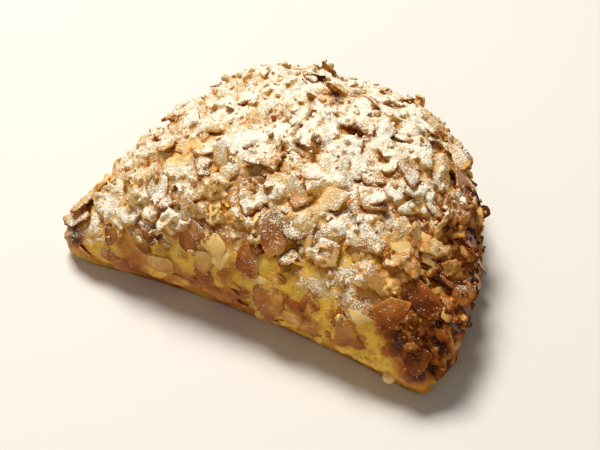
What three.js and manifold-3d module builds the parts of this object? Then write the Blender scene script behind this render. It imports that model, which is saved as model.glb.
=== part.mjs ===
// Apple puff pastry: a half-moon turnover, one solid, crusted with flaked almonds.
// A disc of puff pastry is folded over its filling. The fold lies along X at the front (-Y),
// the sealed rim curves round the back (+Y), and the pastry rests on its flat underside at z = 0.
// Millimetres, +Z up. The origin is on the underside, midway along the fold and midway to the rim.
import * as THREE from "three";
import { mergeVertices } from "three/addons/utils/BufferGeometryUtils.js";
import Module from "manifold-3d";

// Pastry body
const FOLD_LEFT = 71; // middle of the fold to the left tip
const FOLD_RIGHT = 67; // the right tip is curled in, so this half is shorter
const DEPTH = 90; // fold to sealed rim, at the middle
const HEIGHT = 50; // crown of the dome
const TIP_WIDTH_LEFT = 7; // the pinched ends of the fold
const TIP_WIDTH_RIGHT = 12;
const TIP_HEIGHT = 10;
const FOLD_NOSE = 12; // height of the fold's foremost line
const RIM_NOSE = 8; // height of the rim's outermost line
const TIP_NOSE = 5; // height of a tip's outermost line
const FOLD_BOW = 2.5; // the middle of the fold lies this far behind its shoulders
const FOOT_SHARE = 0.55; // share of the lower half-section that is rounded, not flat

// Tips of the fold
const LEFT_CURL = 3; // how far a tip bends back from the fold line
const RIGHT_CURL = 5;
const RIGHT_TUCK = 4; // how far the right end of the fold lies inside the rim behind it
const RIGHT_ROUND = 7; // how far the right tip is pushed in at its very end
const TIP_LIFT = 2.5; // how far the tips rise off the floor
const LIFT_RANGE = [0.76, 1]; // shares of the half fold over which they rise

// Exponents of the outlines: higher is fuller, with the change closer to the end
const TIP_POWER = 16;
const CURL_POWER = 9;
const ROUND_POWER = 40;
const PLAN_POWER_LEFT = 2.6;
const PLAN_POWER_RIGHT = 3.3;
const PLAN_EASE = 0.95;
const DOME_POWER_LEFT = 3.2;
const DOME_POWER_RIGHT = 3.6;
const DOME_EASE = 1.35;
const SECTION_POWER = 0.87; // below 1 squares the section, above 1 points it
const CROWN_POWER = 0.95;

// Swellings of the dough over the apple pieces
const LUMP = 1.3; // their height
const LUMP_SPAN = [13, 11]; // length of a wide swelling along X and Y, over 2 PI
const LUMP_START = [0.6, 1.9];
const RIPPLE_SPAN = [7.5, -9.5]; // the narrow ones run slantwise
const RIPPLE_START = 2.2;
const RIPPLE_SHARE = 0.5;

// Almond flakes
const FLAKE_LENGTH = [12, 18];
const FLAKE_WIDTH = [7.5, 10.5];
const FLAKE_THICKNESS = 1.5;
const FLAKE_SIDES = 8;
const FLAKE_TAPER = 0.28; // how much narrower one end of a flake is
const FLAKE_CURL = 1.1; // how far a flake's ends bend down
const FLAKE_TILT = 20; // degrees that a flake leans out of the crust, at most
const FLAKE_LIFT = 0.6; // middle of a flake above the dough
const FLOOR_GAP = 1.2; // no flake comes closer to the floor

// Where the almonds lie: all over the dome and the rim, thinly on the fold, none on the tips
const FLAKE_TRIES = 178; // places tried by the scatter rule
const SCATTER_ALONG = 0.95; // share of each half of the fold that it reaches
const SCATTER_AROUND = [5, 172]; // degrees round the section: 0 at the rim, 180 at the fold
const FOLD_THINNING = [128, 152]; // degrees over which the almonds thin out towards the fold
const FOLD_COVER = 0.12; // share of them that is left on the fold
const TIP_THINNING = [0.86, 0.95]; // shares of the half fold over which they end
const MARKED_CLEARANCE = 8; // scattered flakes stay this far from the ones placed one by one

// Steps of the scatter rule: multiples of these, less their whole part, never repeat
const STEP_ALONG = 0.7548776662;
const STEP_AROUND = 0.5698402910;
const STEP_SPIN = Math.sqrt(2);
const STEP_LEAN = Math.sqrt(3);
const STEP_SIZE = Math.sqrt(5);
const STEP_KEEP = Math.sqrt(7);

// Flakes that stand out, placed one by one: millimetres along the fold, then degrees round the section,
// of spin and of lean, then length and width
const MARKED_FLAKES = [
  [50, 118, 170, 14, 19, 8], // dark strip above the right tip
  [45, 139, 55, 0, 14, 10], // glossy flake below it
  [56, 147, 95, 4, 11, 10], // on the right tip
  [39, 132, 150, -16, 12, 6], // curled flake on the right shoulder
  [7, 136, 90, -8, 17, 12], // large flake in the middle of the front
  [0, 153, 75, 0, 13, 10], // half sunk below it
  [-12, 151, 150, 6, 12, 7], // pale one beside it
  [-29, 171, 5, 0, 11, 8], // low on the fold
  [-43, 192, 80, 24, 12, 8], // pokes out under the fold
  [19, 115, 30, -22, 12, 8], // shelf that juts out near the crown
  [29, 106, 150, 8, 12, 10],
  [10, 118, 150, 10, 9, 8],
  [-57, 103, 165, 20, 11, 6], // pokes out over the left flank
  [49, 36, 100, 16, 14, 9], // on the right end of the dome
  [57, 45, 120, 14, 13, 8],
];

// Drop of baked filling under the fold, near the right tip
const DROP_ALONG = 49;
const DROP_AROUND = 197; // degrees round the section
const DROP_RADIUS = 2.6;
const DROP_STEPS = [10, 6];

// Mesh steps
const STATIONS = 32;
const RING_POINTS = 32;
const NORMAL_STEP = 1e-3;
const WELD = 1e-3; // points closer than this are one

const UP = new THREE.Vector3(0, 0, 1);
const SIDEWAYS = new THREE.Vector3(0, 1, 0);

const { degToRad, lerp } = THREE.MathUtils;
const share = (value) => value - Math.floor(value);
const smooth = ([low, high], value) => THREE.MathUtils.smoothstep(value, low, high);

// Share of the half fold, from -1 at the left tip to 1 at the right one.
const alongAt = (x) => x / (x > 0 ? FOLD_RIGHT : FOLD_LEFT);

// Fullness of the body along the fold: 1 in the middle, 0 at the tips.
const tipFullness = (along) => Math.sqrt(Math.max(0, 1 - Math.abs(along) ** TIP_POWER));

function domeFullness(along) {
  const power = along > 0 ? DOME_POWER_RIGHT : DOME_POWER_LEFT;
  return (1 - Math.abs(along) ** power) ** DOME_EASE;
}

function planFullness(along) {
  const power = along > 0 ? PLAN_POWER_RIGHT : PLAN_POWER_LEFT;
  return (1 - Math.abs(along) ** power) ** PLAN_EASE;
}

// Swelling of the dough at a place in plan.
function lump(x, y) {
  const wide = Math.sin(x / LUMP_SPAN[0] + LUMP_START[0]) * Math.sin(y / LUMP_SPAN[1] + LUMP_START[1]);
  const narrow = Math.sin(x / RIPPLE_SPAN[0] + y / RIPPLE_SPAN[1] + RIPPLE_START);
  return LUMP * (wide + RIPPLE_SHARE * narrow);
}

// Point of the dough's skin. around is an angle: 0 at the rim, PI / 2 on the crown, PI at the fold.
function skin(along, around) {
  const tip = tipFullness(along);
  const plan = planFullness(along);
  const right = along > 0;
  const tipWidth = right ? TIP_WIDTH_RIGHT : TIP_WIDTH_LEFT;
  const width = tipWidth * tip + (DEPTH - tipWidth) * plan;
  const crown = TIP_HEIGHT * tip + (HEIGHT - TIP_HEIGHT) * domeFullness(along);
  const across = Math.cos(around);
  const rise = Math.sin(around);
  const back = (Math.sign(across) * Math.abs(across) ** SECTION_POWER + 1) / 2;
  const nose = TIP_NOSE * tip * (1 - plan) + lerp(FOLD_NOSE, RIM_NOSE, back) * plan;
  const bend = Math.abs(along) ** CURL_POWER;
  const inset = right ? RIGHT_TUCK * bend * (1 - back) ** 2 + RIGHT_ROUND * along ** ROUND_POWER : 0;
  const x = along * (right ? FOLD_RIGHT : FOLD_LEFT) - inset;
  const curl = (right ? RIGHT_CURL : LEFT_CURL) * bend - FOLD_BOW * along * along;
  const y = width * back + curl - DEPTH / 2;
  const foot = nose * Math.sqrt(Math.max(0, 1 - (rise / FOOT_SHARE) ** 2));
  const swell = Math.max(0, rise);
  const lift = TIP_LIFT * smooth(LIFT_RANGE, Math.abs(along));
  const top = nose + (crown - nose) * swell ** CROWN_POWER + lump(x, y) * swell * plan;
  return new THREE.Vector3(x, y, lift + (rise < 0 ? foot : top));
}

// Outward normal of the skin.
function skinNormal(along, around) {
  const lengthwise = skin(along + NORMAL_STEP, around).sub(skin(along - NORMAL_STEP, around));
  const crosswise = skin(along, around + NORMAL_STEP).sub(skin(along, around - NORMAL_STEP));
  return crosswise.cross(lengthwise).normalize();
}

// Closed body of rings along the fold, with one point at each tip.
function doughGeometry() {
  const positions = [];
  const index = [];
  const rings = STATIONS - 1;
  for (let i = 1; i <= rings; i++) {
    const along = -Math.cos((Math.PI * i) / STATIONS);
    for (let j = 0; j < RING_POINTS; j++) {
      positions.push(...skin(along, (2 * Math.PI * j) / RING_POINTS).toArray());
    }
  }
  const lastRing = (rings - 1) * RING_POINTS;
  for (const ring of [0, lastRing]) {
    const centre = new THREE.Vector3();
    for (let j = 0; j < RING_POINTS; j++) {
      centre.add(new THREE.Vector3().fromArray(positions, 3 * (ring + j)));
    }
    positions.push(...centre.divideScalar(RING_POINTS).toArray());
  }
  const leftTip = rings * RING_POINTS;
  const rightTip = leftTip + 1;
  for (let j = 0; j < RING_POINTS; j++) {
    const next = (j + 1) % RING_POINTS;
    index.push(leftTip, next, j);
    index.push(rightTip, lastRing + j, lastRing + next);
    for (let ring = 0; ring < lastRing; ring += RING_POINTS) {
      const a = ring + j;
      const b = ring + next;
      index.push(a, b, a + RING_POINTS, b, b + RING_POINTS, a + RING_POINTS);
    }
  }
  const geometry = new THREE.BufferGeometry();
  geometry.setAttribute("position", new THREE.Float32BufferAttribute(positions, 3));
  geometry.setIndex(index);
  return geometry;
}

// One almond flake lying in XY: an oval with one narrow end, its ends curled down.
function flakeGeometry(length, width) {
  const outline = [];
  for (let k = 0; k < FLAKE_SIDES; k++) {
    const turn = (2 * Math.PI * k) / FLAKE_SIDES;
    const taper = 1 - FLAKE_TAPER * Math.cos(turn);
    outline.push(new THREE.Vector2((length / 2) * Math.cos(turn), (width / 2) * Math.sin(turn) * taper));
  }
  const slab = { depth: FLAKE_THICKNESS, bevelEnabled: false };
  const flake = new THREE.ExtrudeGeometry(new THREE.Shape(outline), slab);
  const points = flake.getAttribute("position");
  for (let i = 0; i < points.count; i++) {
    const reach = points.getX(i) / (length / 2);
    points.setZ(i, points.getZ(i) - FLAKE_THICKNESS / 2 - FLAKE_CURL * reach * reach);
  }
  return flake;
}

// Lays a flake on the skin: spun about the skin's normal, then leaned out of it (radians).
function placedFlake({ along, around, spin, lean, length, width }) {
  const normal = skinNormal(along, around);
  const pose = new THREE.Quaternion().setFromUnitVectors(UP, normal);
  pose.multiply(new THREE.Quaternion().setFromAxisAngle(UP, spin));
  pose.multiply(new THREE.Quaternion().setFromAxisAngle(SIDEWAYS, lean));
  const seat = skin(along, around).addScaledVector(normal, FLAKE_LIFT);
  const place = new THREE.Matrix4().compose(seat, pose, new THREE.Vector3(1, 1, 1));
  return flakeGeometry(length, width).applyMatrix4(place);
}

// The flakes that stand out.
function markedFlakes() {
  return MARKED_FLAKES.map(([x, around, spin, lean, length, width]) => ({
    along: alongAt(x),
    around: degToRad(around),
    spin: degToRad(spin),
    lean: degToRad(lean),
    length,
    width,
  }));
}

// How thickly the almonds lie, from 0 to 1.
function almondCover(along, around) {
  const onFold = smooth(FOLD_THINNING.map(degToRad), around);
  const onTip = smooth(TIP_THINNING, Math.abs(along));
  return lerp(1, FOLD_COVER, onFold) * (1 - onTip);
}

// The scatter rule: places step evenly over the skin, and each is kept by the area it stands for.
function scatteredFlakes(marked) {
  const flakes = [];
  for (let n = 1; n <= FLAKE_TRIES; n++) {
    const along = SCATTER_ALONG * (2 * share(n * STEP_ALONG) - 1);
    const around = degToRad(lerp(...SCATTER_AROUND, share(n * STEP_AROUND)));
    const place = skin(along, around);
    const kept = share(n * STEP_KEEP) < planFullness(along) * almondCover(along, around);
    const free = marked.every((flake) => skin(flake.along, flake.around).distanceTo(place) > MARKED_CLEARANCE);
    if (!kept || !free) continue;
    const size = share(n * STEP_SIZE);
    flakes.push({
      along,
      around,
      spin: 2 * Math.PI * share(n * STEP_SPIN),
      lean: degToRad(FLAKE_TILT * (2 * share(n * STEP_LEAN) - 1)),
      length: lerp(...FLAKE_LENGTH, size),
      width: lerp(...FLAKE_WIDTH, share(3 * size)),
    });
  }
  return flakes;
}

// The drop, half sunk in the dough.
function dropGeometry() {
  const drop = new THREE.SphereGeometry(DROP_RADIUS, ...DROP_STEPS);
  const place = skin(alongAt(DROP_ALONG), degToRad(DROP_AROUND));
  return drop.translate(place.x, place.y, Math.max(place.z, DROP_RADIUS + FLOOR_GAP));
}

const wasm = await Module();
wasm.setup();

// A closed geometry as a solid that can be joined.
function solid(geometry) {
  const bare = geometry.clone();
  bare.deleteAttribute("normal");
  bare.deleteAttribute("uv");
  const merged = mergeVertices(bare, WELD);
  const mesh = new wasm.Mesh({
    numProp: 3,
    vertProperties: new Float32Array(merged.getAttribute("position").array),
    triVerts: new Uint32Array(merged.index.array),
  });
  return new wasm.Manifold(mesh);
}

// A solid's faces as a geometry.
function facesOf(body) {
  const mesh = body.getMesh();
  const geometry = new THREE.BufferGeometry();
  geometry.setAttribute("position", new THREE.BufferAttribute(mesh.vertProperties, 3));
  geometry.setIndex(new THREE.BufferAttribute(mesh.triVerts, 1));
  geometry.computeVertexNormals();
  return geometry;
}

// The outer body alone: hollows sealed between flakes are filled, and scraps are dropped.
function outerBody(joined) {
  const bodies = solid(facesOf(joined)).decompose();
  return bodies.reduce((largest, body) => (body.volume() > largest.volume() ? body : largest));
}

// Lowest point of a geometry.
function lowest(geometry) {
  geometry.computeBoundingBox();
  return geometry.boundingBox.min.z;
}

function turnoverGeometry() {
  const marked = markedFlakes();
  const flakes = [...marked, ...scatteredFlakes(marked)].map(placedFlake);
  let joined = solid(doughGeometry()).add(solid(dropGeometry()));
  for (const flake of flakes) {
    if (lowest(flake) > FLOOR_GAP) joined = joined.add(solid(flake));
  }
  return facesOf(outerBody(joined));
}

const crust = new THREE.MeshStandardMaterial({ color: 0xc89a58, roughness: 0.8, metalness: 0 });
const turnover = new THREE.Mesh(turnoverGeometry(), crust);
turnover.name = "turnover";

const pastry = new THREE.Group();
pastry.add(turnover);

export default pastry;
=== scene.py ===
"""Looks of the apple puff pastry: golden dough, flaked almonds, crumbs and icing sugar.

The pastry is one body, so every piece rides on it. The dough repeats the shape of the turnover's solid,
and the almond flakes lie where the solid has them. Crumbs, chips and sugar are added on top.
"""

import logging
import math
from collections.abc import Callable
from dataclasses import dataclass, field
from enum import Enum

import bpy
import numpy as np
from mathutils import Matrix, Vector
from mathutils.bvhtree import BVHTree


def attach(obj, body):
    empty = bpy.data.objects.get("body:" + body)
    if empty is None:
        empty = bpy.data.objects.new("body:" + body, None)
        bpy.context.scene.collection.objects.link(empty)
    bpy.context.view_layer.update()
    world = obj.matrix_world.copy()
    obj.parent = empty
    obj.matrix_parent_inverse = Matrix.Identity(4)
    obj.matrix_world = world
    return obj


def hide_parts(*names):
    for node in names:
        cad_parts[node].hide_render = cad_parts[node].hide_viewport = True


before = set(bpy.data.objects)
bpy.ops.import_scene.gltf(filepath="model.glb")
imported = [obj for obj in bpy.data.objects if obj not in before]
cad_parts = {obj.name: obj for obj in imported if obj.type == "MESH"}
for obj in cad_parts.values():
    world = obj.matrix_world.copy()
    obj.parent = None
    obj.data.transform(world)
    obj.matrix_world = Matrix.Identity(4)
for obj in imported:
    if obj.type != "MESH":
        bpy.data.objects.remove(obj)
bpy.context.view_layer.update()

LOG = logging.getLogger("pastry")
MM = 0.001
BODY = "root"
NODE = "turnover"
FULL_TURN = 2.0 * math.pi
FLOOR_GAP = 0.8
SEAT_GAP = 0.1

Array = np.ndarray
Chance = np.random.Generator
Colour = tuple[float, float, float, float]
Density = Callable[[Array, Array], Array]
Inputs = dict[str | int, object]
Material = bpy.types.Material
Mesh = bpy.types.Mesh
Node = bpy.types.Node
NodeOutputs = bpy.types.NodeOutputs
Piece = bpy.types.Object
Socket = bpy.types.NodeSocket
Span = tuple[float, float]
Spot = tuple[float, float, float]


def srgb(red: int, green: int, blue: int) -> Colour:
    """Turns a colour of 0 to 255 steps, as a paint chart gives it, into a shader colour.

    Args:
        red: Steps of red.
        green: Steps of green.
        blue: Steps of blue.

    Returns:
        The linear colour with full alpha.
    """
    shares = (np.array([red, green, blue]) / 255.0).clip(0.0, 1.0)
    linear = np.where(shares <= 0.04045, shares / 12.92, ((shares + 0.055) / 1.055) ** 2.4)
    return (float(linear[0]), float(linear[1]), float(linear[2]), 1.0)


def fraction(value: float) -> float:
    """The part of a number after its whole part."""
    return value - math.floor(value)


def within(span: Span, share: float) -> float:
    """The number at a share of a range."""
    return span[0] + (span[1] - span[0]) * share


def smooth(value: Array, low: float, high: float) -> Array:
    """Rises smoothly from 0 at low to 1 at high."""
    share = np.clip((np.asarray(value, float) - low) / (high - low), 0.0, 1.0)
    return share * share * (3.0 - 2.0 * share)


def band(value: Array, rise: Span, fall: Span) -> Array:
    """Rises smoothly from 0 to 1 over one range, and falls back to 0 over another."""
    return smooth(value, *rise) * (1.0 - smooth(value, *fall))


def turn_to(normal: Array) -> Array:
    """The shortest turn that takes +Z to a direction.

    Args:
        normal: A unit vector.

    Returns:
        A 3 by 3 turn.
    """
    across = np.array([[0.0, 0.0, normal[0]], [0.0, 0.0, normal[1]], [-normal[0], -normal[1], 0.0]])
    return np.eye(3) + across + across @ across / max(1.0 + normal[2], 1e-6)


def spun(angle: float) -> Array:
    """A turn about Z."""
    return np.array(Matrix.Rotation(angle, 3, "Z"))


def leaned(angle: float) -> Array:
    """A turn about Y."""
    return np.array(Matrix.Rotation(angle, 3, "Y"))


def deselect_all() -> None:
    """Leaves nothing selected, so that an operator acts only on what is added next."""
    if bpy.context.mode != "OBJECT":
        bpy.ops.object.mode_set(mode="OBJECT")
    bpy.ops.object.select_all(action="DESELECT")


def read_rows(items: bpy.types.bpy_prop_collection, name: str, kind: type) -> Array:
    """Reads a property of three numbers from all points or triangles of a mesh.

    Args:
        items: The points or triangles.
        name: The property.
        kind: Type of the numbers.

    Returns:
        Rows of three numbers.
    """
    values = np.zeros(len(items) * 3, kind)
    items.foreach_get(name, values)
    return values.reshape(-1, 3)


def points_of(mesh: Mesh) -> Array:
    """The vertices of a mesh, as rows of x, y, z."""
    return read_rows(mesh.vertices, "co", float)


def normals_of(mesh: Mesh) -> Array:
    """The vertex normals of a mesh, as rows of x, y, z."""
    return read_rows(mesh.vertex_normals, "vector", np.float32).astype(float)


def triangles_of(mesh: Mesh) -> Array:
    """The triangles of a mesh, as rows of three vertex numbers."""
    mesh.calc_loop_triangles()
    return read_rows(mesh.loop_triangles, "vertices", np.int32)


def move_points(mesh: Mesh, points: Array) -> None:
    """Puts the vertices of a mesh at new places."""
    mesh.vertices.foreach_set("co", np.ascontiguousarray(points, np.float32).ravel())
    mesh.update()


def painted_values(mesh: Mesh, name: str) -> Array:
    """The numbers that a mesh holds for its vertices under a name.

    Args:
        mesh: The mesh.
        name: The name.

    Returns:
        One number for each vertex, or zeros if it has none.
    """
    values = np.zeros(len(mesh.vertices), np.float32)
    if name in mesh.attributes:
        mesh.attributes[name].data.foreach_get("value", values)
    return values


def merge_doubles() -> None:
    """Merges the points of the active mesh that lie at one place, and selects it all over."""
    bpy.ops.object.mode_set(mode="EDIT")
    bpy.ops.mesh.select_all(action="SELECT")
    bpy.ops.mesh.remove_doubles(threshold=1e-6)
    bpy.ops.object.mode_set(mode="OBJECT")


def close_to_spine(piece: Piece, height: float, reach: float = 36.0, pitch: float = 3.0) -> None:
    """Extrudes the open edge of a coat to a spine inside the dough, so that the coat is closed.

    Args:
        piece: The coat, which is the active object.
        height: Height of the spine in millimetres.
        reach: Half the spine's length in millimetres, short enough to stay inside the dough.
        pitch: Distance between the spine's points in millimetres.
    """
    upper = len(piece.data.vertices)
    clear_selection("EDGE")
    bpy.ops.object.mode_set(mode="EDIT")
    bpy.ops.mesh.select_non_manifold()
    bpy.ops.mesh.extrude_region_move()
    bpy.ops.object.mode_set(mode="OBJECT")
    points = points_of(piece.data)
    inward = (0.9 * points[upper:, 0]).clip(-reach * MM, reach * MM)
    points[upper:, 0] = np.round(inward / (pitch * MM)) * pitch * MM
    points[upper:, 1] = 0.0
    points[upper:, 2] = height * MM
    move_points(piece.data, points)
    merge_doubles()


def paint(mesh: Mesh, name: str, values: Array) -> None:
    """Stores one number for each vertex under a name that the materials read."""
    layer = mesh.attributes.get(name) or mesh.attributes.new(name, "FLOAT", "POINT")
    layer.data.foreach_set("value", np.ascontiguousarray(values, np.float32))


def clear_selection(kind: str) -> None:
    """Leaves nothing of the active mesh selected.

    Args:
        kind: What is selected next: VERT, EDGE or FACE.
    """
    bpy.ops.object.mode_set(mode="EDIT")
    bpy.ops.mesh.select_mode(type=kind)
    bpy.ops.mesh.select_all(action="DESELECT")
    bpy.ops.object.mode_set(mode="OBJECT")


def apply_modifier(piece: Piece, kind: str, **settings: object) -> None:
    """Adds a modifier to the active object and applies it.

    Args:
        piece: The active object.
        kind: The modifier's type.
        **settings: Its properties.
    """
    modifier = piece.modifiers.new(kind.lower(), kind)
    for name, value in settings.items():
        setattr(modifier, name, value)
    bpy.ops.object.modifier_apply(modifier=modifier.name)


def weigh(piece: Piece, name: str, shares: Array) -> str:
    """Stores how strongly a modifier acts on each vertex.

    Args:
        piece: The object.
        name: Name of the new vertex group.
        shares: Shares from 0 to 1.

    Returns:
        The group's name.
    """
    group = piece.vertex_groups.new(name=name)
    for index in np.flatnonzero(shares > 0.0):
        group.add([int(index)], float(shares[index]), "REPLACE")
    return name


def round_patch(points: Array, spot: Array, radius: float, core: float) -> Array:
    """A round patch that fades out.

    Args:
        points: Points in metres, as rows.
        spot: The patch's middle.
        radius: Its radius in millimetres.
        core: Share of the radius that is full.

    Returns:
        1 in the core, down to 0 a little outside the radius.
    """
    gap = np.linalg.norm(points - spot, axis=1) / MM
    return 1.0 - smooth(gap, core * radius, 1.3 * radius)


class Toast(Enum):
    """How far an almond is toasted, as a place on the toasting scale."""

    PALE = 0.12
    GOLDEN = 0.36
    TOASTED = 0.64
    DARK = 0.84


class Seed(Enum):
    """Seeds of the random draws, one for each kind of scattered piece."""

    PEELS = 5
    FLAKES = 11
    CHIPS = 23
    CRUMBS = 37
    GRAINS = 53

    def chance(self) -> Chance:
        """A fresh source of chance."""
        return np.random.default_rng(self.value)


ChipRow = tuple[float, float, float, float, float, Toast]
FlakeRow = tuple[float, float, float, float, float, float, Toast]
SpotRow = tuple[float, float, float, float]


class Pattern(Enum):
    """Chance patterns that roughen a surface."""

    CLOUDS = "CLOUDS"
    CELLS = "VORONOI"


@dataclass(frozen=True)
class Relief:
    """A pattern raised out of a piece, with its size and height in millimetres."""

    name: str
    pattern: Pattern
    span: float
    height: float

    def raise_on(self, piece: Piece, group: str) -> None:
        """Raises the pattern out of the active object.

        Args:
            piece: The active object.
            group: The vertex group that says how strongly.
        """
        texture = bpy.data.textures.new(self.name, self.pattern.value)
        texture.noise_scale = self.span * MM
        settings = {"texture_coords": "LOCAL", "strength": self.height * MM, "mid_level": 0.5}
        apply_modifier(piece, "DISPLACE", texture=texture, vertex_group=group, **settings)


@dataclass(frozen=True)
class PastryForm:
    """Shape of the turnover, with the sizes of its solid in millimetres.

    A place on the skin has two numbers: along, from -1 at the left tip to 1 at the right tip, and around,
    an angle that is 0 at the rim, a quarter turn on the crown and half a turn at the fold.
    """

    fold_left: float = 71.0
    fold_right: float = 67.0
    depth: float = 90.0
    height: float = 50.0
    tip_width_left: float = 7.0
    tip_width_right: float = 12.0
    tip_height: float = 10.0
    fold_nose: float = 12.0
    rim_nose: float = 8.0
    tip_nose: float = 5.0
    fold_bow: float = 2.5
    foot_share: float = 0.55
    left_curl: float = 3.0
    right_curl: float = 5.0
    right_tuck: float = 4.0
    right_round: float = 7.0
    tip_lift: float = 2.5
    lift_range: Span = (0.76, 1.0)
    tip_power: float = 16.0
    curl_power: float = 9.0
    round_power: float = 40.0
    plan_powers: Span = (2.6, 3.3)
    plan_ease: float = 0.95
    dome_powers: Span = (3.2, 3.6)
    dome_ease: float = 1.35
    section_power: float = 0.87
    crown_power: float = 0.95
    lump: float = 1.3
    lump_span: Span = (13.0, 11.0)
    lump_start: Span = (0.6, 1.9)
    ripple_span: Span = (7.5, -9.5)
    ripple_start: float = 2.2
    ripple_share: float = 0.5
    normal_step: float = 1e-3

    def along_at(self, x: float) -> float:
        """The share of the half fold at a distance in millimetres from its middle."""
        return x / (self.fold_right if x > 0 else self.fold_left)

    def plan(self, along: Array) -> Array:
        """Fullness of the outline seen from above: 1 in the middle, 0 at the tips."""
        power = np.where(along > 0, self.plan_powers[1], self.plan_powers[0])
        return np.maximum(0.0, 1.0 - np.abs(along) ** power) ** self.plan_ease

    def dome(self, along: Array) -> Array:
        """Fullness of the dome's height: 1 in the middle, 0 at the tips."""
        power = np.where(along > 0, self.dome_powers[1], self.dome_powers[0])
        return np.maximum(0.0, 1.0 - np.abs(along) ** power) ** self.dome_ease

    def swelling(self, x: Array, y: Array) -> Array:
        """Height of the swellings over the apple pieces.

        Args:
            x: Distances along the fold in millimetres.
            y: Distances from the middle towards the rim in millimetres.

        Returns:
            Heights in millimetres.
        """
        wide = np.sin(x / self.lump_span[0] + self.lump_start[0])
        wide = wide * np.sin(y / self.lump_span[1] + self.lump_start[1])
        narrow = np.sin(x / self.ripple_span[0] + y / self.ripple_span[1] + self.ripple_start)
        return self.lump * (wide + self.ripple_share * narrow)

    def skin(self, along: Array, around: Array) -> Array:
        """Points of the dough's skin.

        Args:
            along: Shares of the half fold.
            around: Angles round the section, in radians.

        Returns:
            Points in metres, with x, y, z in the last axis.
        """
        along, around = np.broadcast_arrays(np.asarray(along, float), np.asarray(around, float))
        right = along > 0
        tip = np.sqrt(np.maximum(0.0, 1.0 - np.abs(along) ** self.tip_power))
        plan = self.plan(along)
        tip_width = np.where(right, self.tip_width_right, self.tip_width_left)
        width = tip_width * tip + (self.depth - tip_width) * plan
        crown = self.tip_height * tip + (self.height - self.tip_height) * self.dome(along)
        across, rise = np.cos(around), np.sin(around)
        back = (np.sign(across) * np.abs(across) ** self.section_power + 1.0) / 2.0
        edge = self.fold_nose + (self.rim_nose - self.fold_nose) * back
        nose = self.tip_nose * tip * (1.0 - plan) + edge * plan
        bend = np.abs(along) ** self.curl_power
        inset = self.right_tuck * bend * (1.0 - back) ** 2
        inset = inset + self.right_round * np.abs(along) ** self.round_power
        x = along * np.where(right, self.fold_right, self.fold_left) - np.where(right, inset, 0.0)
        curl = np.where(right, self.right_curl, self.left_curl) * bend - self.fold_bow * along**2
        y = width * back + curl - self.depth / 2.0
        foot = nose * np.sqrt(np.maximum(0.0, 1.0 - (rise / self.foot_share) ** 2))
        swell = np.maximum(0.0, rise)
        top = nose + (crown - nose) * swell**self.crown_power + self.swelling(x, y) * swell * plan
        lift = self.tip_lift * smooth(np.abs(along), *self.lift_range)
        return MM * np.stack([x, y, lift + np.where(rise < 0.0, foot, top)], axis=-1)

    def spot(self, x: float, degrees: float) -> Array:
        """The point of the skin at a distance along the fold and an angle round the section."""
        return self.skin(self.along_at(x), math.radians(degrees))

    def locate(self, points: Array) -> tuple[Array, Array]:
        """Finds the places of the upper skin that lie over or under points.

        Args:
            points: Points in metres, as rows.

        Returns:
            The places as two arrays, along and around.
        """
        x, y = points[:, 0] / MM, points[:, 1] / MM
        along = np.clip(x / np.where(x > 0, self.fold_right, self.fold_left), -0.97, 0.97)
        low, high = self.skin(along, math.pi)[:, 1] / MM, self.skin(along, 0.0)[:, 1] / MM
        across = np.clip(2.0 * (y - low) / (high - low) - 1.0, -1.0, 1.0)
        return along, np.arccos(np.sign(across) * np.abs(across) ** (1.0 / self.section_power))

    def normal(self, along: Array, around: Array) -> Array:
        """Outward unit normals of the skin.

        Args:
            along: Shares of the half fold.
            around: Angles round the section, in radians.

        Returns:
            Directions, with x, y, z in the last axis.
        """
        step = self.normal_step
        lengthwise = self.skin(along + step, around) - self.skin(along - step, around)
        crosswise = self.skin(along, around + step) - self.skin(along, around - step)
        normal = np.cross(crosswise, lengthwise)
        return normal / np.maximum(np.linalg.norm(normal, axis=-1, keepdims=True), 1e-12)

    def height_over(self, points: Array) -> Array:
        """How far points stand out of the upper skin, in metres."""
        along, around = self.locate(points)
        return ((points - self.skin(along, around)) * self.normal(along, around)).sum(axis=1)


@dataclass(frozen=True)
class FlakePlace:
    """One almond flake on the skin: its place, its turn, its size in millimetres and its toasting."""

    along: float
    around: float
    spin: float
    lean: float
    length: float
    width: float
    tone: float
    breaks: int = 0


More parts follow.
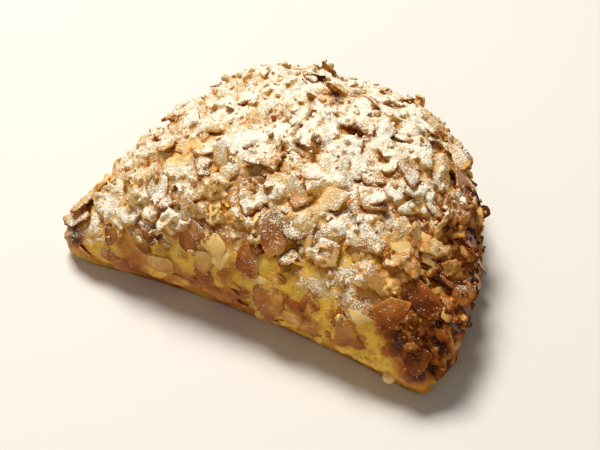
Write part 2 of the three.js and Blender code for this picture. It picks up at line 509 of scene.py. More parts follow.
@dataclass(frozen=True)
class AlmondLayout:
    """Where the flakes of the solid lie: the ones that stand out and the ones of the scatter rule."""

    form: PastryForm
    length: Span = (12.0, 18.0)
    width: Span = (7.5, 10.5)
    tone: Span = (0.12, 0.62)
    tilt: float = 20.0
    tries: int = 178
    reach_along: float = 0.95
    reach_around: Span = (5.0, 172.0)
    fold_thinning: Span = (128.0, 152.0)
    fold_cover: float = 0.12
    tip_thinning: Span = (0.86, 0.95)
    clearance: float = 8.0
    step_along: float = 0.7548776662
    step_around: float = 0.5698402910
    bare_flakes: int = 10
    bare_gap: float = 5.0
    marked_rows: tuple[FlakeRow, ...] = (
        (50, 118, 170, 14, 19, 8, Toast.DARK),
        (45, 139, 55, 0, 14, 10, Toast.TOASTED),
        (56, 147, 95, 4, 11, 10, Toast.DARK),
        (39, 132, 150, -16, 12, 6, Toast.GOLDEN),
        (7, 136, 90, -8, 17, 12, Toast.TOASTED),
        (0, 153, 75, 0, 13, 10, Toast.TOASTED),
        (-12, 151, 150, 6, 12, 7, Toast.PALE),
        (-29, 171, 5, 0, 11, 8, Toast.GOLDEN),
        (-43, 192, 80, 24, 12, 8, Toast.TOASTED),
        (19, 115, 30, -22, 12, 8, Toast.PALE),
        (29, 106, 150, 8, 12, 10, Toast.TOASTED),
        (10, 118, 150, 10, 9, 8, Toast.TOASTED),
        (-57, 103, 165, 20, 11, 6, Toast.PALE),
        (49, 36, 100, 16, 14, 9, Toast.GOLDEN),
        (57, 45, 120, 14, 13, 8, Toast.PALE),
    )

    def marked(self) -> list[FlakePlace]:
        """The flakes that stand out, placed one by one.

        Returns:
            The flakes in the order of their rows.
        """
        flakes = []
        for x, around, spin, lean, length, width, toast in self.marked_rows:
            angles = (math.radians(value) for value in (around, spin, lean))
            flakes.append(FlakePlace(self.form.along_at(x), *angles, length, width, toast.value, 1))
        return flakes

    def bare_spots(self) -> Array:
        """Middles of the flakes that nothing is strewn over."""
        bare = self.marked()[: self.bare_flakes]
        return np.array([self.form.skin(place.along, place.around) for place in bare])

    def on_bare(self, point: Array, spots: Array) -> bool:
        """Whether a point lies on one of the flakes that stay bare."""
        return bool(np.linalg.norm(spots - point, axis=1).min() < self.bare_gap * MM)

    def cover(self, along: Array, around: Array) -> Array:
        """How thickly the almonds lie at places on the skin, from 0 to 1."""
        front = 1.0 + (self.fold_cover - 1.0) * smooth(np.degrees(around), *self.fold_thinning)
        return front * (1.0 - smooth(np.abs(along), *self.tip_thinning))

    def crust_end(self, along: Array) -> Array:
        """How much lower the crust reaches on the front towards the tips, in degrees round the section."""
        along = np.asarray(along, float)
        return 5.0 + 12.0 * smooth(-along, -0.05, 0.35) + 9.0 * smooth(along, 0.66, 0.8)

    def scattered(self, marked: list[FlakePlace]) -> list[FlakePlace]:
        """The flakes of the scatter rule, which keep clear of the marked ones.

        Args:
            marked: The flakes placed one by one.

        Returns:
            The scattered flakes in the rule's order.
        """
        form = self.form
        seats = np.array([form.skin(place.along, place.around) for place in marked])
        flakes = []
        for n in range(1, self.tries + 1):
            along = self.reach_along * (2.0 * fraction(n * self.step_along) - 1.0)
            around = math.radians(within(self.reach_around, fraction(n * self.step_around)))
            gaps = np.linalg.norm(seats - form.skin(along, around), axis=1)
            odds = float(form.plan(np.float64(along)) * self.cover(along, around))
            if fraction(n * math.sqrt(7.0)) >= odds or gaps.min() <= self.clearance * MM:
                continue
            spin = FULL_TURN * fraction(n * math.sqrt(2.0))
            lean = math.radians(self.tilt * (2.0 * fraction(n * math.sqrt(3.0)) - 1.0))
            size = fraction(n * math.sqrt(5.0))
            length, width = within(self.length, size), within(self.width, fraction(3.0 * size))
            tone = within(self.tone, fraction(7.0 * size))
            flakes.append(FlakePlace(along, around, spin, lean, length, width, tone, n % 2))
        return flakes


@dataclass
class PlateBlank:
    """A round plate, modelled once, from which every almond flake and chip is shaped."""

    sides: int
    insets: tuple[float, ...]
    spread: Array = field(init=False)
    bearing: Array = field(init=False)
    face: Array = field(init=False)
    triangles: Array = field(init=False)

    def __post_init__(self) -> None:
        """Models the plate and keeps its points as distances and bearings from the middle."""
        mesh = self.model()
        points = points_of(mesh)
        self.spread = np.hypot(points[:, 0], points[:, 1])
        self.bearing = np.arctan2(points[:, 1], points[:, 0])
        self.face = np.sign(points[:, 2])
        self.triangles = triangles_of(mesh)
        bpy.data.meshes.remove(mesh)

    def model(self) -> Mesh:
        """Insets both faces of a short cylinder and pokes their middles.

        Returns:
            The plate's mesh, of radius 1 and half thickness 1.
        """
        deselect_all()
        bpy.ops.mesh.primitive_cylinder_add(vertices=self.sides, radius=1.0, depth=2.0, end_fill_type="NGON")
        blank = bpy.context.object
        clear_selection("FACE")
        for polygon in blank.data.polygons:
            polygon.select = abs(polygon.normal.z) > 0.9
        bpy.ops.object.mode_set(mode="EDIT")
        for thickness in self.insets:
            bpy.ops.mesh.inset(thickness=thickness)
        bpy.ops.mesh.poke()
        bpy.ops.mesh.select_all(action="SELECT")
        bpy.ops.mesh.quads_convert_to_tris()
        bpy.ops.mesh.normals_make_consistent(inside=False)
        bpy.ops.object.mode_set(mode="OBJECT")
        mesh = blank.data
        bpy.data.objects.remove(blank)
        return mesh

    @property
    def rim(self) -> Array:
        """1 at the plate's edge and 0 inside it."""
        return (self.spread > 0.97).astype(float)

    def lopsided(self, amount: float, rng: Chance) -> Array:
        """Numbers that rise from one side of the plate to the other, in a chance direction."""
        return amount * self.spread * np.cos(self.bearing - rng.uniform(0.0, FULL_TURN))


@dataclass(frozen=True)
class FlakeCut:
    """How almond flakes are cut: thickness and bends in millimetres, roughness of the outline as a share."""

    thickness: Span = (0.9, 1.3)
    taper: float = 0.28
    curl: float = 1.1
    warp: float = 0.5
    rim_share: float = 0.62
    ragged: float = 0.075
    break_reach: Span = (0.25, 0.8)

    def outline(self, bearing: Array, breaks: int, rng: Chance) -> Array:
        """How far the outline reaches at each bearing: an uneven round with straight broken sides.

        Args:
            bearing: Bearings of the plate's points.
            breaks: Number of broken sides.
            rng: Source of chance.

        Returns:
            The reach as a share of the whole flake's.
        """
        reach = np.ones_like(bearing)
        for waves, share in ((2, 0.8), (3, 0.9), (5, 0.6), (9, 0.4)):
            reach += self.ragged * share * np.sin(waves * bearing + rng.uniform(0.0, FULL_TURN))
        first = rng.uniform(0.0, FULL_TURN)
        for side in range(breaks):
            turned = first + FULL_TURN * side / breaks + rng.normal(0.0, 0.35)
            facing = np.cos(bearing - turned)
            limit = rng.uniform(*self.break_reach) / np.maximum(facing, 1e-3)
            limit *= 1.0 + self.ragged * np.sin(11.0 * bearing + rng.uniform(0.0, FULL_TURN))
            reach = np.minimum(reach, limit)
        return reach

    def shape(
        self, blank: PlateBlank, length: float, width: float, breaks: int, rng: Chance, bend: float = 1.0
    ) -> Array:
        """Shapes one flake from the blank.

        Args:
            blank: The plate.
            length: Length in millimetres.
            width: Width in millimetres.
            breaks: Number of broken sides.
            rng: Source of chance.
            bend: How far its ends bend down, as a share of the usual.

        Returns:
            The flake's points in metres, lying in XY.
        """
        reach = blank.spread * self.outline(blank.bearing, breaks, rng)
        u, v = reach * np.cos(blank.bearing), reach * np.sin(blank.bearing)
        x = length / 2.0 * u
        y = width / 2.0 * v * (1.0 - self.taper * u)
        half = rng.uniform(*self.thickness) / 2.0
        thick = half * np.where(blank.rim > 0.0, self.rim_share, 1.0)
        twist, dish, wave = rng.normal(0.0, self.warp, 3)
        z = blank.face * thick - self.curl * bend * u**2 + twist * u * v + 0.6 * dish * v**2
        z += 0.25 * wave * np.sin(3.0 * u + 2.0 * v + rng.uniform(0.0, 6.0))
        return MM * np.stack([x, y, z], axis=-1)


@dataclass
class MeshBatch:
    """Many small shapes that become one joined mesh."""

    points: list[Array] = field(default_factory=list)
    triangles: list[Array] = field(default_factory=list)
    values: dict[str, list[Array]] = field(default_factory=dict)
    count: int = 0

    def add(self, points: Array, triangles: Array, **values: Array | float) -> None:
        """Adds one shape.

        Args:
            points: Its vertices in metres.
            triangles: Its triangles.
            **values: Numbers for its vertices, by name; one number stands for all of them.
        """
        self.points.append(points)
        self.triangles.append(triangles + self.count)
        for name, value in values.items():
            self.values.setdefault(name, []).append(np.broadcast_to(np.asarray(value, float), len(points)))
        self.count += len(points)

    def to_object(self, name: str, sharp_degrees: float | None = None) -> Piece:
        """Joins the shapes into one object.

        Args:
            name: The object's name.
            sharp_degrees: Edges sharper than this stay sharp; without it all edges are smooth.

        Returns:
            The object, at the origin.
        """
        mesh = bpy.data.meshes.new(name)
        mesh.from_pydata(np.concatenate(self.points), [], np.concatenate(self.triangles))
        for key, parts in self.values.items():
            paint(mesh, key, np.concatenate(parts))
        piece = bpy.data.objects.new(name, mesh)
        bpy.context.scene.collection.objects.link(piece)
        deselect_all()
        piece.select_set(True)
        bpy.context.view_layer.objects.active = piece
        if sharp_degrees is None:
            bpy.ops.object.shade_smooth()
        else:
            bpy.ops.object.shade_smooth_by_angle(angle=math.radians(sharp_degrees))
        return piece


@dataclass
class Pile:
    """What already lies on the pastry, so that the next layer rests on it."""

    pieces: list[Piece]
    tree: BVHTree = field(init=False)

    def __post_init__(self) -> None:
        """Builds the tree that finds the pile's surface."""
        points, triangles, count = [], [], 0
        for piece in self.pieces:
            points += points_of(piece.data).tolist()
            triangles += (triangles_of(piece.data) + count).tolist()
            count = len(points)
        self.tree = BVHTree.FromPolygons(points, triangles)

    def seat(self, point: Array, normal: Array, reach: float = 0.02) -> tuple[Array, Array]:
        """Finds the top of the pile over a place on the skin.

        Args:
            point: Place on the skin.
            normal: The skin's normal there.
            reach: How far above the skin to start from, in metres.

        Returns:
            The highest point over that place, and the pile's normal there.
        """
        origin, way = Vector(point + normal * reach), Vector(-normal)
        place, facing, _, _ = self.tree.ray_cast(origin, way, 2.0 * reach)
        if place is None:
            return point, normal
        facing = np.array(facing)
        if facing @ normal < 0.0:
            facing = normal
        return np.array(place), facing

    def openness(self, points: Array, normals: Array, ways: Array, reach: float) -> Array:
        """The share of directions in which each point is open.

        Args:
            points: Points on the pile.
            normals: Their normals.
            ways: Unit directions to look in.
            reach: How far to look, in metres.

        Returns:
            Shares from 0 to 1.
        """
        starts = points + normals * 0.3 * MM
        found = np.zeros(len(points))
        for way in ways:
            direction = Vector(way)
            facing = normals @ way > 0.0
            for index in np.flatnonzero(facing):
                if self.tree.ray_cast(Vector(starts[index]), direction, reach)[0] is None:
                    found[index] += 1.0
        return found / len(ways)


@dataclass
class SkinSampler:
    """Picks chance places on the skin, evenly by area and thinned by a density."""

    form: PastryForm
    rng: Chance
    along: Span = (-0.985, 0.985)
    around: Span = (-25.0, 205.0)
    steps: int = 240

    def pick(self, count: int, density: Density) -> tuple[Array, Array]:
        """Picks places.

        Args:
            count: How many.
            density: Gives the density at places along and around.

        Returns:
            The places as two arrays, along and around.
        """
        edges_along = np.linspace(*self.along, self.steps + 1)
        edges_around = np.radians(np.linspace(*self.around, self.steps + 1))
        along = (edges_along[1:] + edges_along[:-1])[:, None] / 2.0
        around = (edges_around[1:] + edges_around[:-1])[None, :] / 2.0
        step = self.form.normal_step
        lengthwise = self.form.skin(along + step, around) - self.form.skin(along - step, around)
        crosswise = self.form.skin(along, around + step) - self.form.skin(along, around - step)
        area = np.linalg.norm(np.cross(lengthwise, crosswise), axis=-1)
        weight = (area * density(along, around)).ravel()
        cells = self.rng.choice(weight.size, count, p=weight / weight.sum())
        jitter = self.rng.uniform(0.0, 1.0, (2, count))
        rows, columns = np.divmod(cells, self.steps)
        return (
            edges_along[rows] + jitter[0] * (edges_along[1] - edges_along[0]),
            edges_around[columns] + jitter[1] * (edges_around[1] - edges_around[0]),
        )


class NodeBench:
    """Lays out shader nodes in one tree."""

    def __init__(self, tree: bpy.types.NodeTree) -> None:
        """Takes the tree to work in."""
        self.tree = tree

    def put(self, kind: str, inputs: Inputs | None = None, **settings: object) -> Node:
        """Adds a node.

        Args:
            kind: The node's type.
            inputs: Values or sockets for its inputs, by name or number.
            **settings: Its other properties.

        Returns:
            The node.
        """
        node = self.tree.nodes.new(kind)
        for name, value in settings.items():
            setattr(node, name, value)
        self.feed(node, inputs or {})
        return node

    def feed(self, node: Node, inputs: Inputs) -> None:
        """Gives a node its inputs.

        Args:
            node: The node.
            inputs: Values or sockets, by name or number.
        """
        for key, value in inputs.items():
            if isinstance(value, Socket):
                self.tree.links.new(value, node.inputs[key])
            else:
                node.inputs[key].default_value = value

    def place(self) -> Socket:
        """The place on the object."""
        return self.put("ShaderNodeTexCoord").outputs["Object"]

    def painted(self, name: str) -> Socket:
        """The number painted on the mesh under a name."""
        return self.put("ShaderNodeAttribute", attribute_name=name).outputs["Fac"]

    def noise(self, place: Socket, scale: float | Socket, detail: float = 2.0, rough: float = 0.55) -> Socket:
        """Clouds of chance, with their scale in waves for each metre."""
        inputs = {"Vector": place, "Scale": scale, "Detail": detail, "Roughness": rough}
        return self.put("ShaderNodeTexNoise", inputs).outputs["Fac"]

    def clouds(self, place: Socket, scale: float, reach: float) -> Socket:
        """Shifts of chance in all three directions, with their reach in millimetres."""
        cloud = self.put("ShaderNodeTexNoise", {"Vector": place, "Scale": scale}).outputs["Color"]
        return self.put("ShaderNodeVectorMath", {0: cloud, "Scale": reach * MM}, operation="SCALE").outputs[0]

    def sum(self, operation: str, first: object, second: object, clamp: bool = False) -> Socket:
        """One step of arithmetic."""
        inputs = {0: first, 1: second}
        return self.put("ShaderNodeMath", inputs, operation=operation, use_clamp=clamp).outputs[0]

    def step(self, value: Socket, low: float, high: float) -> Socket:
        """Rises smoothly from 0 at low to 1 at high."""
        inputs = {"Value": value, "From Min": low, "From Max": high}
        return self.put("ShaderNodeMapRange", inputs, interpolation_type="SMOOTHSTEP").outputs["Result"]

    def between(self, value: Socket, low: float, high: float) -> Socket:
        """Spreads a share of 0 to 1 over a range."""
        inputs = {"Value": value, "To Min": low, "To Max": high}
        return self.put("ShaderNodeMapRange", inputs).outputs["Result"]

    def blend(self, share: object, first: object, second: object, way: str = "MIX") -> Socket:
        """Blends two colours."""
        inputs = {0: share, 6: first, 7: second}
        return self.put("ShaderNodeMix", inputs, data_type="RGBA", blend_type=way).outputs[2]

    def scale(self, share: Socket, stops: list[tuple[float, Colour]]) -> Socket:
        """A colour scale.

        Args:
            share: The place on the scale.
            stops: Places and their colours.

        Returns:
            The colour.
        """
        node = self.put("ShaderNodeValToRGB", {"Fac": share})
        ramp = node.color_ramp
        while len(ramp.elements) < len(stops):
            ramp.elements.new(0.5)
        for element, (position, colour) in zip(ramp.elements, stops):
            element.position = position
            element.color = colour
        return node.outputs["Color"]

    def bump(self, height: Socket, strength: float, distance: float, below: Socket | None = None) -> Socket:
        """Relief of a height.

        Args:
            height: The height.
            strength: How strongly it shows.
            distance: Its size in millimetres.
            below: The relief that it lies on.

        Returns:
            The normal.
        """
        inputs = {"Height": height, "Strength": strength, "Distance": distance * MM}
        if below is not None:
            inputs["Normal"] = below
        return self.put("ShaderNodeBump", inputs).outputs["Normal"]


class EffectGroup:
    """A shader node group that several materials share."""

    name: str = ""
    inputs: tuple[tuple[str, str], ...] = ()
    outputs: tuple[tuple[str, str], ...] = ()

    def __init__(self) -> None:
        """Builds the group's sockets and nodes."""
        self.tree = bpy.data.node_groups.new(self.name, "ShaderNodeTree")
        for title, kind in self.inputs:
            self.tree.interface.new_socket(title, in_out="INPUT", socket_type=kind)
        for title, kind in self.outputs:
            self.tree.interface.new_socket(title, in_out="OUTPUT", socket_type=kind)
        bench = NodeBench(self.tree)
        entry = bench.put("NodeGroupInput")
        bench.put("NodeGroupOutput", self.wire(bench, entry.outputs))

    def wire(self, bench: NodeBench, entry: NodeOutputs) -> dict[str, Socket]:
        """Lays out the group's nodes and gives its results by name."""
        raise NotImplementedError

    def use(self, bench: NodeBench, **inputs: object) -> NodeOutputs:
        """Places the group in a material with its inputs by name, and gives its outputs."""
        return bench.put("ShaderNodeGroup", inputs, node_tree=self.tree).outputs


class SugarDusting(EffectGroup):
    """Icing sugar that lies where the sieve reached, in grains and small clumps."""

    name = "sugar_dusting"
    inputs = (("Place", "NodeSocketVector"), ("Color", "NodeSocketColor"), ("Sugar", "NodeSocketFloat"))
    outputs = (("Color", "NodeSocketColor"), ("Cover", "NodeSocketFloat"), ("Height", "NodeSocketFloat"))
    pure: Colour = srgb(255, 251, 238)
    warm: Colour = srgb(240, 218, 180)
    veil: Colour = srgb(218, 184, 140)

    def wire(self, bench: NodeBench, entry: NodeOutputs) -> dict[str, Socket]:
        """Breaks the sugar up by grain and clump noise.

        Args:
            bench: The group's bench.
            entry: Its inputs by name.

        Returns:
            Its outputs by name.
        """
        grain = bench.step(bench.noise(entry["Place"], 1700.0, 1.0, 0.6), 0.28, 0.72)
        clump = bench.noise(entry["Place"], 650.0, 2.0, 0.6)
        patch = bench.noise(entry["Place"], 190.0, 2.0, 0.6)
        fine = bench.sum("ADD", bench.between(grain, -0.34, 0.34), bench.between(clump, -0.65, 0.65))
        chance = bench.sum("ADD", fine, bench.between(patch, -0.7, 0.7))
        live = bench.sum("MULTIPLY", chance, bench.step(entry["Sugar"], 0.02, 0.3))
        level = bench.sum("ADD", entry["Sugar"], live)
        cover = bench.step(level, 0.32, 0.72)
        soft = bench.step(level, 0.55, 1.15)
        sugar = bench.blend(soft, self.warm, self.pure)
        thin = bench.sum("MULTIPLY", bench.step(entry["Sugar"], 0.1, 0.7), 0.32)
        return {
            "Color": bench.blend(cover, bench.blend(thin, entry["Color"], self.veil), sugar),
            "Cover": cover,
            "Height": bench.sum("MULTIPLY", cover, bench.between(grain, 0.4, 1.0)),
        }


class BakeMottle(EffectGroup):
    """Browning in uneven blotches, with finer flecks inside them."""

    name = "bake_mottle"
    inputs = (
        ("Place", "NodeSocketVector"),
        ("Color", "NodeSocketColor"),
        ("Brown", "NodeSocketColor"),
        ("Scale", "NodeSocketFloat"),
        ("Bias", "NodeSocketFloat"),
    )
    outputs = (("Color", "NodeSocketColor"),)

    def wire(self, bench: NodeBench, entry: NodeOutputs) -> dict[str, Socket]:
        """Lays the brown over the colour where broad and fine noise agree.

        Args:
            bench: The group's bench.
            entry: Its inputs by name.

        Returns:
            Its outputs by name.
        """
        broad = bench.noise(entry["Place"], entry["Scale"], 4.0, 0.62)
        fine = bench.noise(entry["Place"], bench.sum("MULTIPLY", entry["Scale"], 5.3), 3.0, 0.6)
        both = bench.sum("ADD", bench.sum("MULTIPLY", broad, 0.7), bench.sum("MULTIPLY", fine, 0.3))
        mask = bench.step(bench.sum("ADD", both, entry["Bias"]), 0.42, 0.66)
        return {"Color": bench.blend(mask, entry["Color"], entry["Brown"])}


class ToastScale(EffectGroup):
    """Colour of almond from raw to scorched, darker along its skin edge, lighter where a negative edge paints
    a highlight on the rim.
    """

    name = "toast_scale"
    inputs = (("Place", "NodeSocketVector"), ("Tone", "NodeSocketFloat"), ("Edge", "NodeSocketFloat"))
    outputs = (("Color", "NodeSocketColor"), ("Shade", "NodeSocketFloat"))
    stops: list[tuple[float, Colour]] = [
        (0.0, srgb(250, 216, 142)),
        (0.22, srgb(234, 184, 104)),
        (0.42, srgb(206, 142, 66)),
        (0.64, srgb(164, 90, 32)),
        (0.84, srgb(102, 48, 16)),
        (1.0, srgb(52, 24, 10)),
    ]

    def wire(self, bench: NodeBench, entry: NodeOutputs) -> dict[str, Socket]:
        """Shifts the tone by blotches and by the edge, darker for the skin and lighter for a painted
        highlight where the edge is negative, then reads the colour scale.

        Args:
            bench: The group's bench.
            entry: Its inputs by name.

        Returns:
            Its outputs by name.
        """
        blotch = bench.between(bench.noise(entry["Place"], 230.0, 4.0, 0.65), -0.3, 0.3)
        fleck = bench.between(bench.noise(entry["Place"], 1300.0, 2.0, 0.6), -0.1, 0.1)
        edge = bench.sum("MULTIPLY", entry["Edge"], 0.26)
        shade = bench.sum("ADD", bench.sum("ADD", entry["Tone"], blotch), bench.sum("ADD", fleck, edge), True)
        return {"Color": bench.scale(shade, self.stops), "Shade": shade}


@dataclass(frozen=True)
class Effects:
    """The effects that the finishes share."""

    sugar: SugarDusting
    mottle: BakeMottle
    toast: ToastScale


class Finish:
    """A material with one Principled shader."""

    name: str = ""

    def make(self, effects: Effects) -> Material:
        """Builds the material.

        Args:
            effects: The shared effects.

        Returns:
            The material.
        """
        material = bpy.data.materials.new(self.name)
        material.use_nodes = True
        bench = NodeBench(material.node_tree)
        bench.feed(material.node_tree.nodes["Principled BSDF"], self.wire(bench, effects))
        return material

    def wire(self, bench: NodeBench, effects: Effects) -> dict[str, object]:
        """Lays out the material's nodes and gives the shader's inputs by name."""
        raise NotImplementedError


@dataclass(frozen=True)
class DoughFinish(Finish):
    """Egg-washed puff pastry: golden, blotched brown, scorched at the tips, layered along the rim; its scorch
    colour also paints shade, its pale patches a painted highlight.
    """

    name: str = "baked_dough"
    gold: Colour = srgb(198, 122, 18)
    pale: Colour = srgb(240, 190, 66)
    brown: Colour = srgb(146, 68, 10)
    fleck: Colour = srgb(174, 94, 22)
    scorch_and_shade: Colour = srgb(54, 20, 5)
    layer: Colour = srgb(200, 136, 50)
    leaves: float = 11.0
    gleam: float = 0.2

    def wire(self, bench: NodeBench, effects: Effects) -> dict[str, object]:
        """Lays blotches, layers, scorching with painted shade, pale patches with painted highlight, and sugar
        over the gold.

        Args:
            bench: The material's bench.
            effects: The shared effects.

        Returns:
            The shader's inputs by name.
        """
        place = bench.place()
        bake = bench.painted("bake")
        # The painted bake darkens the gold with scorching and painted shade, and where it is negative pales
        # it, partly as painted highlight.
        light = bench.sum("SUBTRACT", bench.noise(place, 55.0, 3.0), bench.sum("MULTIPLY", bake, 0.4))
        base = bench.blend(bench.step(light, 0.36, 0.62), self.gold, self.pale)
        flaky = bench.noise(place, 80.0, 5.0, 0.62)
        tread = bench.sum("FRACT", bench.sum("MULTIPLY", flaky, self.leaves), 0.0)
        edged = bench.blend(bench.sum("MULTIPLY", bench.step(tread, 0.6, 1.0), 0.25), base, self.fleck)
        bias = bench.sum("ADD", bench.sum("MULTIPLY", bake, 0.3), -0.02)
        mottle = effects.mottle.use(bench, Place=place, Color=edged, Brown=self.brown, Scale=170.0, Bias=bias)
        fleck = effects.mottle.use(
            bench, Place=place, Color=mottle["Color"], Brown=self.fleck, Scale=330.0, Bias=-0.06
        )
        waves = {"Vector": place, "Scale": 170.0, "Distortion": 3.5, "Detail": 2.0, "Detail Scale": 60.0}
        stripes = bench.put("ShaderNodeTexWave", waves, bands_direction="Z").outputs["Fac"]
        layers = bench.sum("MULTIPLY", stripes, bench.painted("layers"))
        striped = bench.blend(layers, fleck["Color"], self.layer)
        spots = bench.noise(place, 320.0, 3.0, 0.65)
        # Scorch colour over the scorch spots: real scorching and painted shade.
        burnt_and_shaded = bench.step(bench.sum("ADD", bake, bench.between(spots, -0.45, 0.35)), 0.42, 0.95)
        baked = bench.blend(burnt_and_shaded, striped, self.scorch_and_shade)
        sugar = effects.sugar.use(bench, Place=place, Color=baked, Sugar=bench.painted("sugar"))
        blister = bench.bump(bench.noise(place, 420.0, 4.0, 0.6), 0.35, 0.5)
        grain = bench.bump(bench.noise(place, 1500.0, 3.0, 0.6), 0.25, 0.2, blister)
        leaves = bench.bump(bench.sum("SNAP", flaky, 1.0 / self.leaves), 0.4, 1.2, grain)
        sheets = bench.bump(layers, 0.7, 0.7, leaves)
        relief = bench.bump(sugar["Height"], 0.7, 0.3, sheets)
        gloss = bench.between(bench.noise(place, 260.0, 3.0), 0.28, 0.5)
        rough = bench.sum("ADD", gloss, bench.sum("MULTIPLY", sugar["Cover"], 0.4), True)
        return {
            "Base Color": sugar["Color"],
            "Roughness": rough,
            "Normal": relief,
            "Specular IOR Level": self.gleam,
        }


@dataclass(frozen=True)
class AlmondFinish(Finish):
    """Toasted flaked almond with a brown skin edge, a painted highlight on the rims of the marked flakes,
    fine grain and sugar on top.
    """

    name: str = "toasted_almond"
    brown: Colour = srgb(128, 66, 26)
    gleam: float = 0.14

    def wire(self, bench: NodeBench, effects: Effects) -> dict[str, object]:
        """Lays blotches and sugar over the toasted colour.

        Args:
            bench: The material's bench.
            effects: The shared effects.

        Returns:
            The shader's inputs by name.
        """
        place = bench.place()
        toast = effects.toast.use(bench, Place=place, Tone=bench.painted("tone"), Edge=bench.painted("edge"))
        bias = bench.between(toast["Shade"], -0.3, 0.02)
        mottle = effects.mottle.use(
            bench, Place=place, Color=toast["Color"], Brown=self.brown, Scale=260.0, Bias=bias
        )
        sugar = effects.sugar.use(bench, Place=place, Color=mottle["Color"], Sugar=bench.painted("sugar"))
        fibre = bench.bump(bench.noise(place, 900.0, 3.0, 0.6), 0.3, 0.25)
        relief = bench.bump(sugar["Height"], 0.8, 0.35, fibre)
        gloss = bench.between(bench.noise(place, 500.0, 2.0), 0.24, 0.46)
        rough = bench.sum("ADD", gloss, bench.sum("MULTIPLY", sugar["Cover"], 0.4), True)
        return {
            "Base Color": sugar["Color"],
            "Roughness": rough,
            "Normal": relief,
            "Specular IOR Level": self.gleam,
        }


@dataclass(frozen=True)
class CrumbFinish(Finish):
    """Crumbly baked sugar and almond: matt, uneven, dusted."""

    name: str = "baked_crumb"
    brown: Colour = srgb(140, 78, 30)
    gleam: float = 0.06

    def wire(self, bench: NodeBench, effects: Effects) -> dict[str, object]:
        """Gives each lump its own toasting, and dusts them.

        Args:
            bench: The material's bench.
            effects: The shared effects.

        Returns:
            The shader's inputs by name.
        """
        place = bench.place()
        warped = bench.put("ShaderNodeVectorMath", {0: place, 1: bench.clouds(place, 300.0, 2.2)}).outputs[0]
        cell = bench.put("ShaderNodeTexVoronoi", {"Vector": warped, "Scale": 430.0})
        lot = bench.put("ShaderNodeSeparateColor", {"Color": cell.outputs["Color"]}).outputs["Red"]
        # The painted tone is toasting, and on the crust also painted shade in its hollows.
        tone = bench.sum("ADD", bench.painted("tone"), bench.between(lot, -0.2, 0.24))
        toast = effects.toast.use(bench, Place=place, Tone=tone, Edge=bench.painted("edge"))
        mottle = effects.mottle.use(
            bench, Place=place, Color=toast["Color"], Brown=self.brown, Scale=480.0, Bias=-0.08
        )
        sugar = effects.sugar.use(bench, Place=place, Color=mottle["Color"], Sugar=bench.painted("sugar"))
        lump = bench.bump(bench.between(cell.outputs["Distance"], 1.0, 0.0), 0.7, 0.8)
        crumb = bench.bump(bench.noise(place, 1100.0, 4.0, 0.65), 0.6, 0.5, lump)
        relief = bench.bump(sugar["Height"], 0.8, 0.35, crumb)
        rough = bench.between(bench.noise(place, 700.0, 2.0), 0.6, 0.85)
        return {
            "Base Color": sugar["Color"],
            "Roughness": rough,
            "Normal": relief,
            "Specular IOR Level": self.gleam,
        }


@dataclass(frozen=True)
class SugarFinish(Finish):
    """Loose grains of icing sugar."""

    name: str = "icing_sugar"
    bright: Colour = srgb(255, 252, 242)
    soft: Colour = srgb(252, 240, 214)

    def wire(self, bench: NodeBench, effects: Effects) -> dict[str, object]:
        """Clouds the grains softly.

        Args:
            bench: The material's bench.
            effects: The shared effects; not used.

        Returns:
            The shader's inputs by name.
        """
        place = bench.place()
        cloud = bench.noise(place, 900.0, 2.0)
        colour = bench.blend(bench.step(cloud, 0.35, 0.65), self.soft, self.bright)
        relief = bench.bump(bench.noise(place, 5200.0, 2.0), 0.4, 0.1)
        return {"Base Color": colour, "Roughness": bench.between(cloud, 0.5, 0.75), "Normal": relief}


@dataclass(frozen=True)
class DropFinish(Finish):
    """Baked apple syrup: pale amber, glossy, clouded."""

    name: str = "apple_syrup"
    amber: Colour = srgb(214, 164, 74)
    cloudy: Colour = srgb(236, 206, 130)
    clearness: float = 0.3
    light_depth: float = 1.5

    def wire(self, bench: NodeBench, effects: Effects) -> dict[str, object]:
        """Clouds the syrup and lets light into it.

        Args:
            bench: The material's bench.
            effects: The shared effects; not used.

        Returns:
            The shader's inputs by name.
        """
        place = bench.place()
        cloud = bench.noise(place, 420.0, 3.0)
        colour = bench.blend(bench.step(cloud, 0.36, 0.64), self.amber, self.cloudy)
        relief = bench.bump(cloud, 0.25, 0.4)
        return {
            "Base Color": colour,
            "Roughness": bench.between(cloud, 0.12, 0.3),
            "Normal": relief,
            "Subsurface Weight": self.clearness,
            "Subsurface Scale": self.light_depth * MM,
        }


@dataclass(frozen=True)
class FloorFinish(Finish):
    """Plain pale studio floor."""

    name: str = "studio_floor"
    colour: Colour = srgb(226, 224, 220)
    rough: float = 0.7

    def wire(self, bench: NodeBench, effects: Effects) -> dict[str, object]:
        """Gives the floor one plain colour."""
        return {"Base Color": self.colour, "Roughness": self.rough}


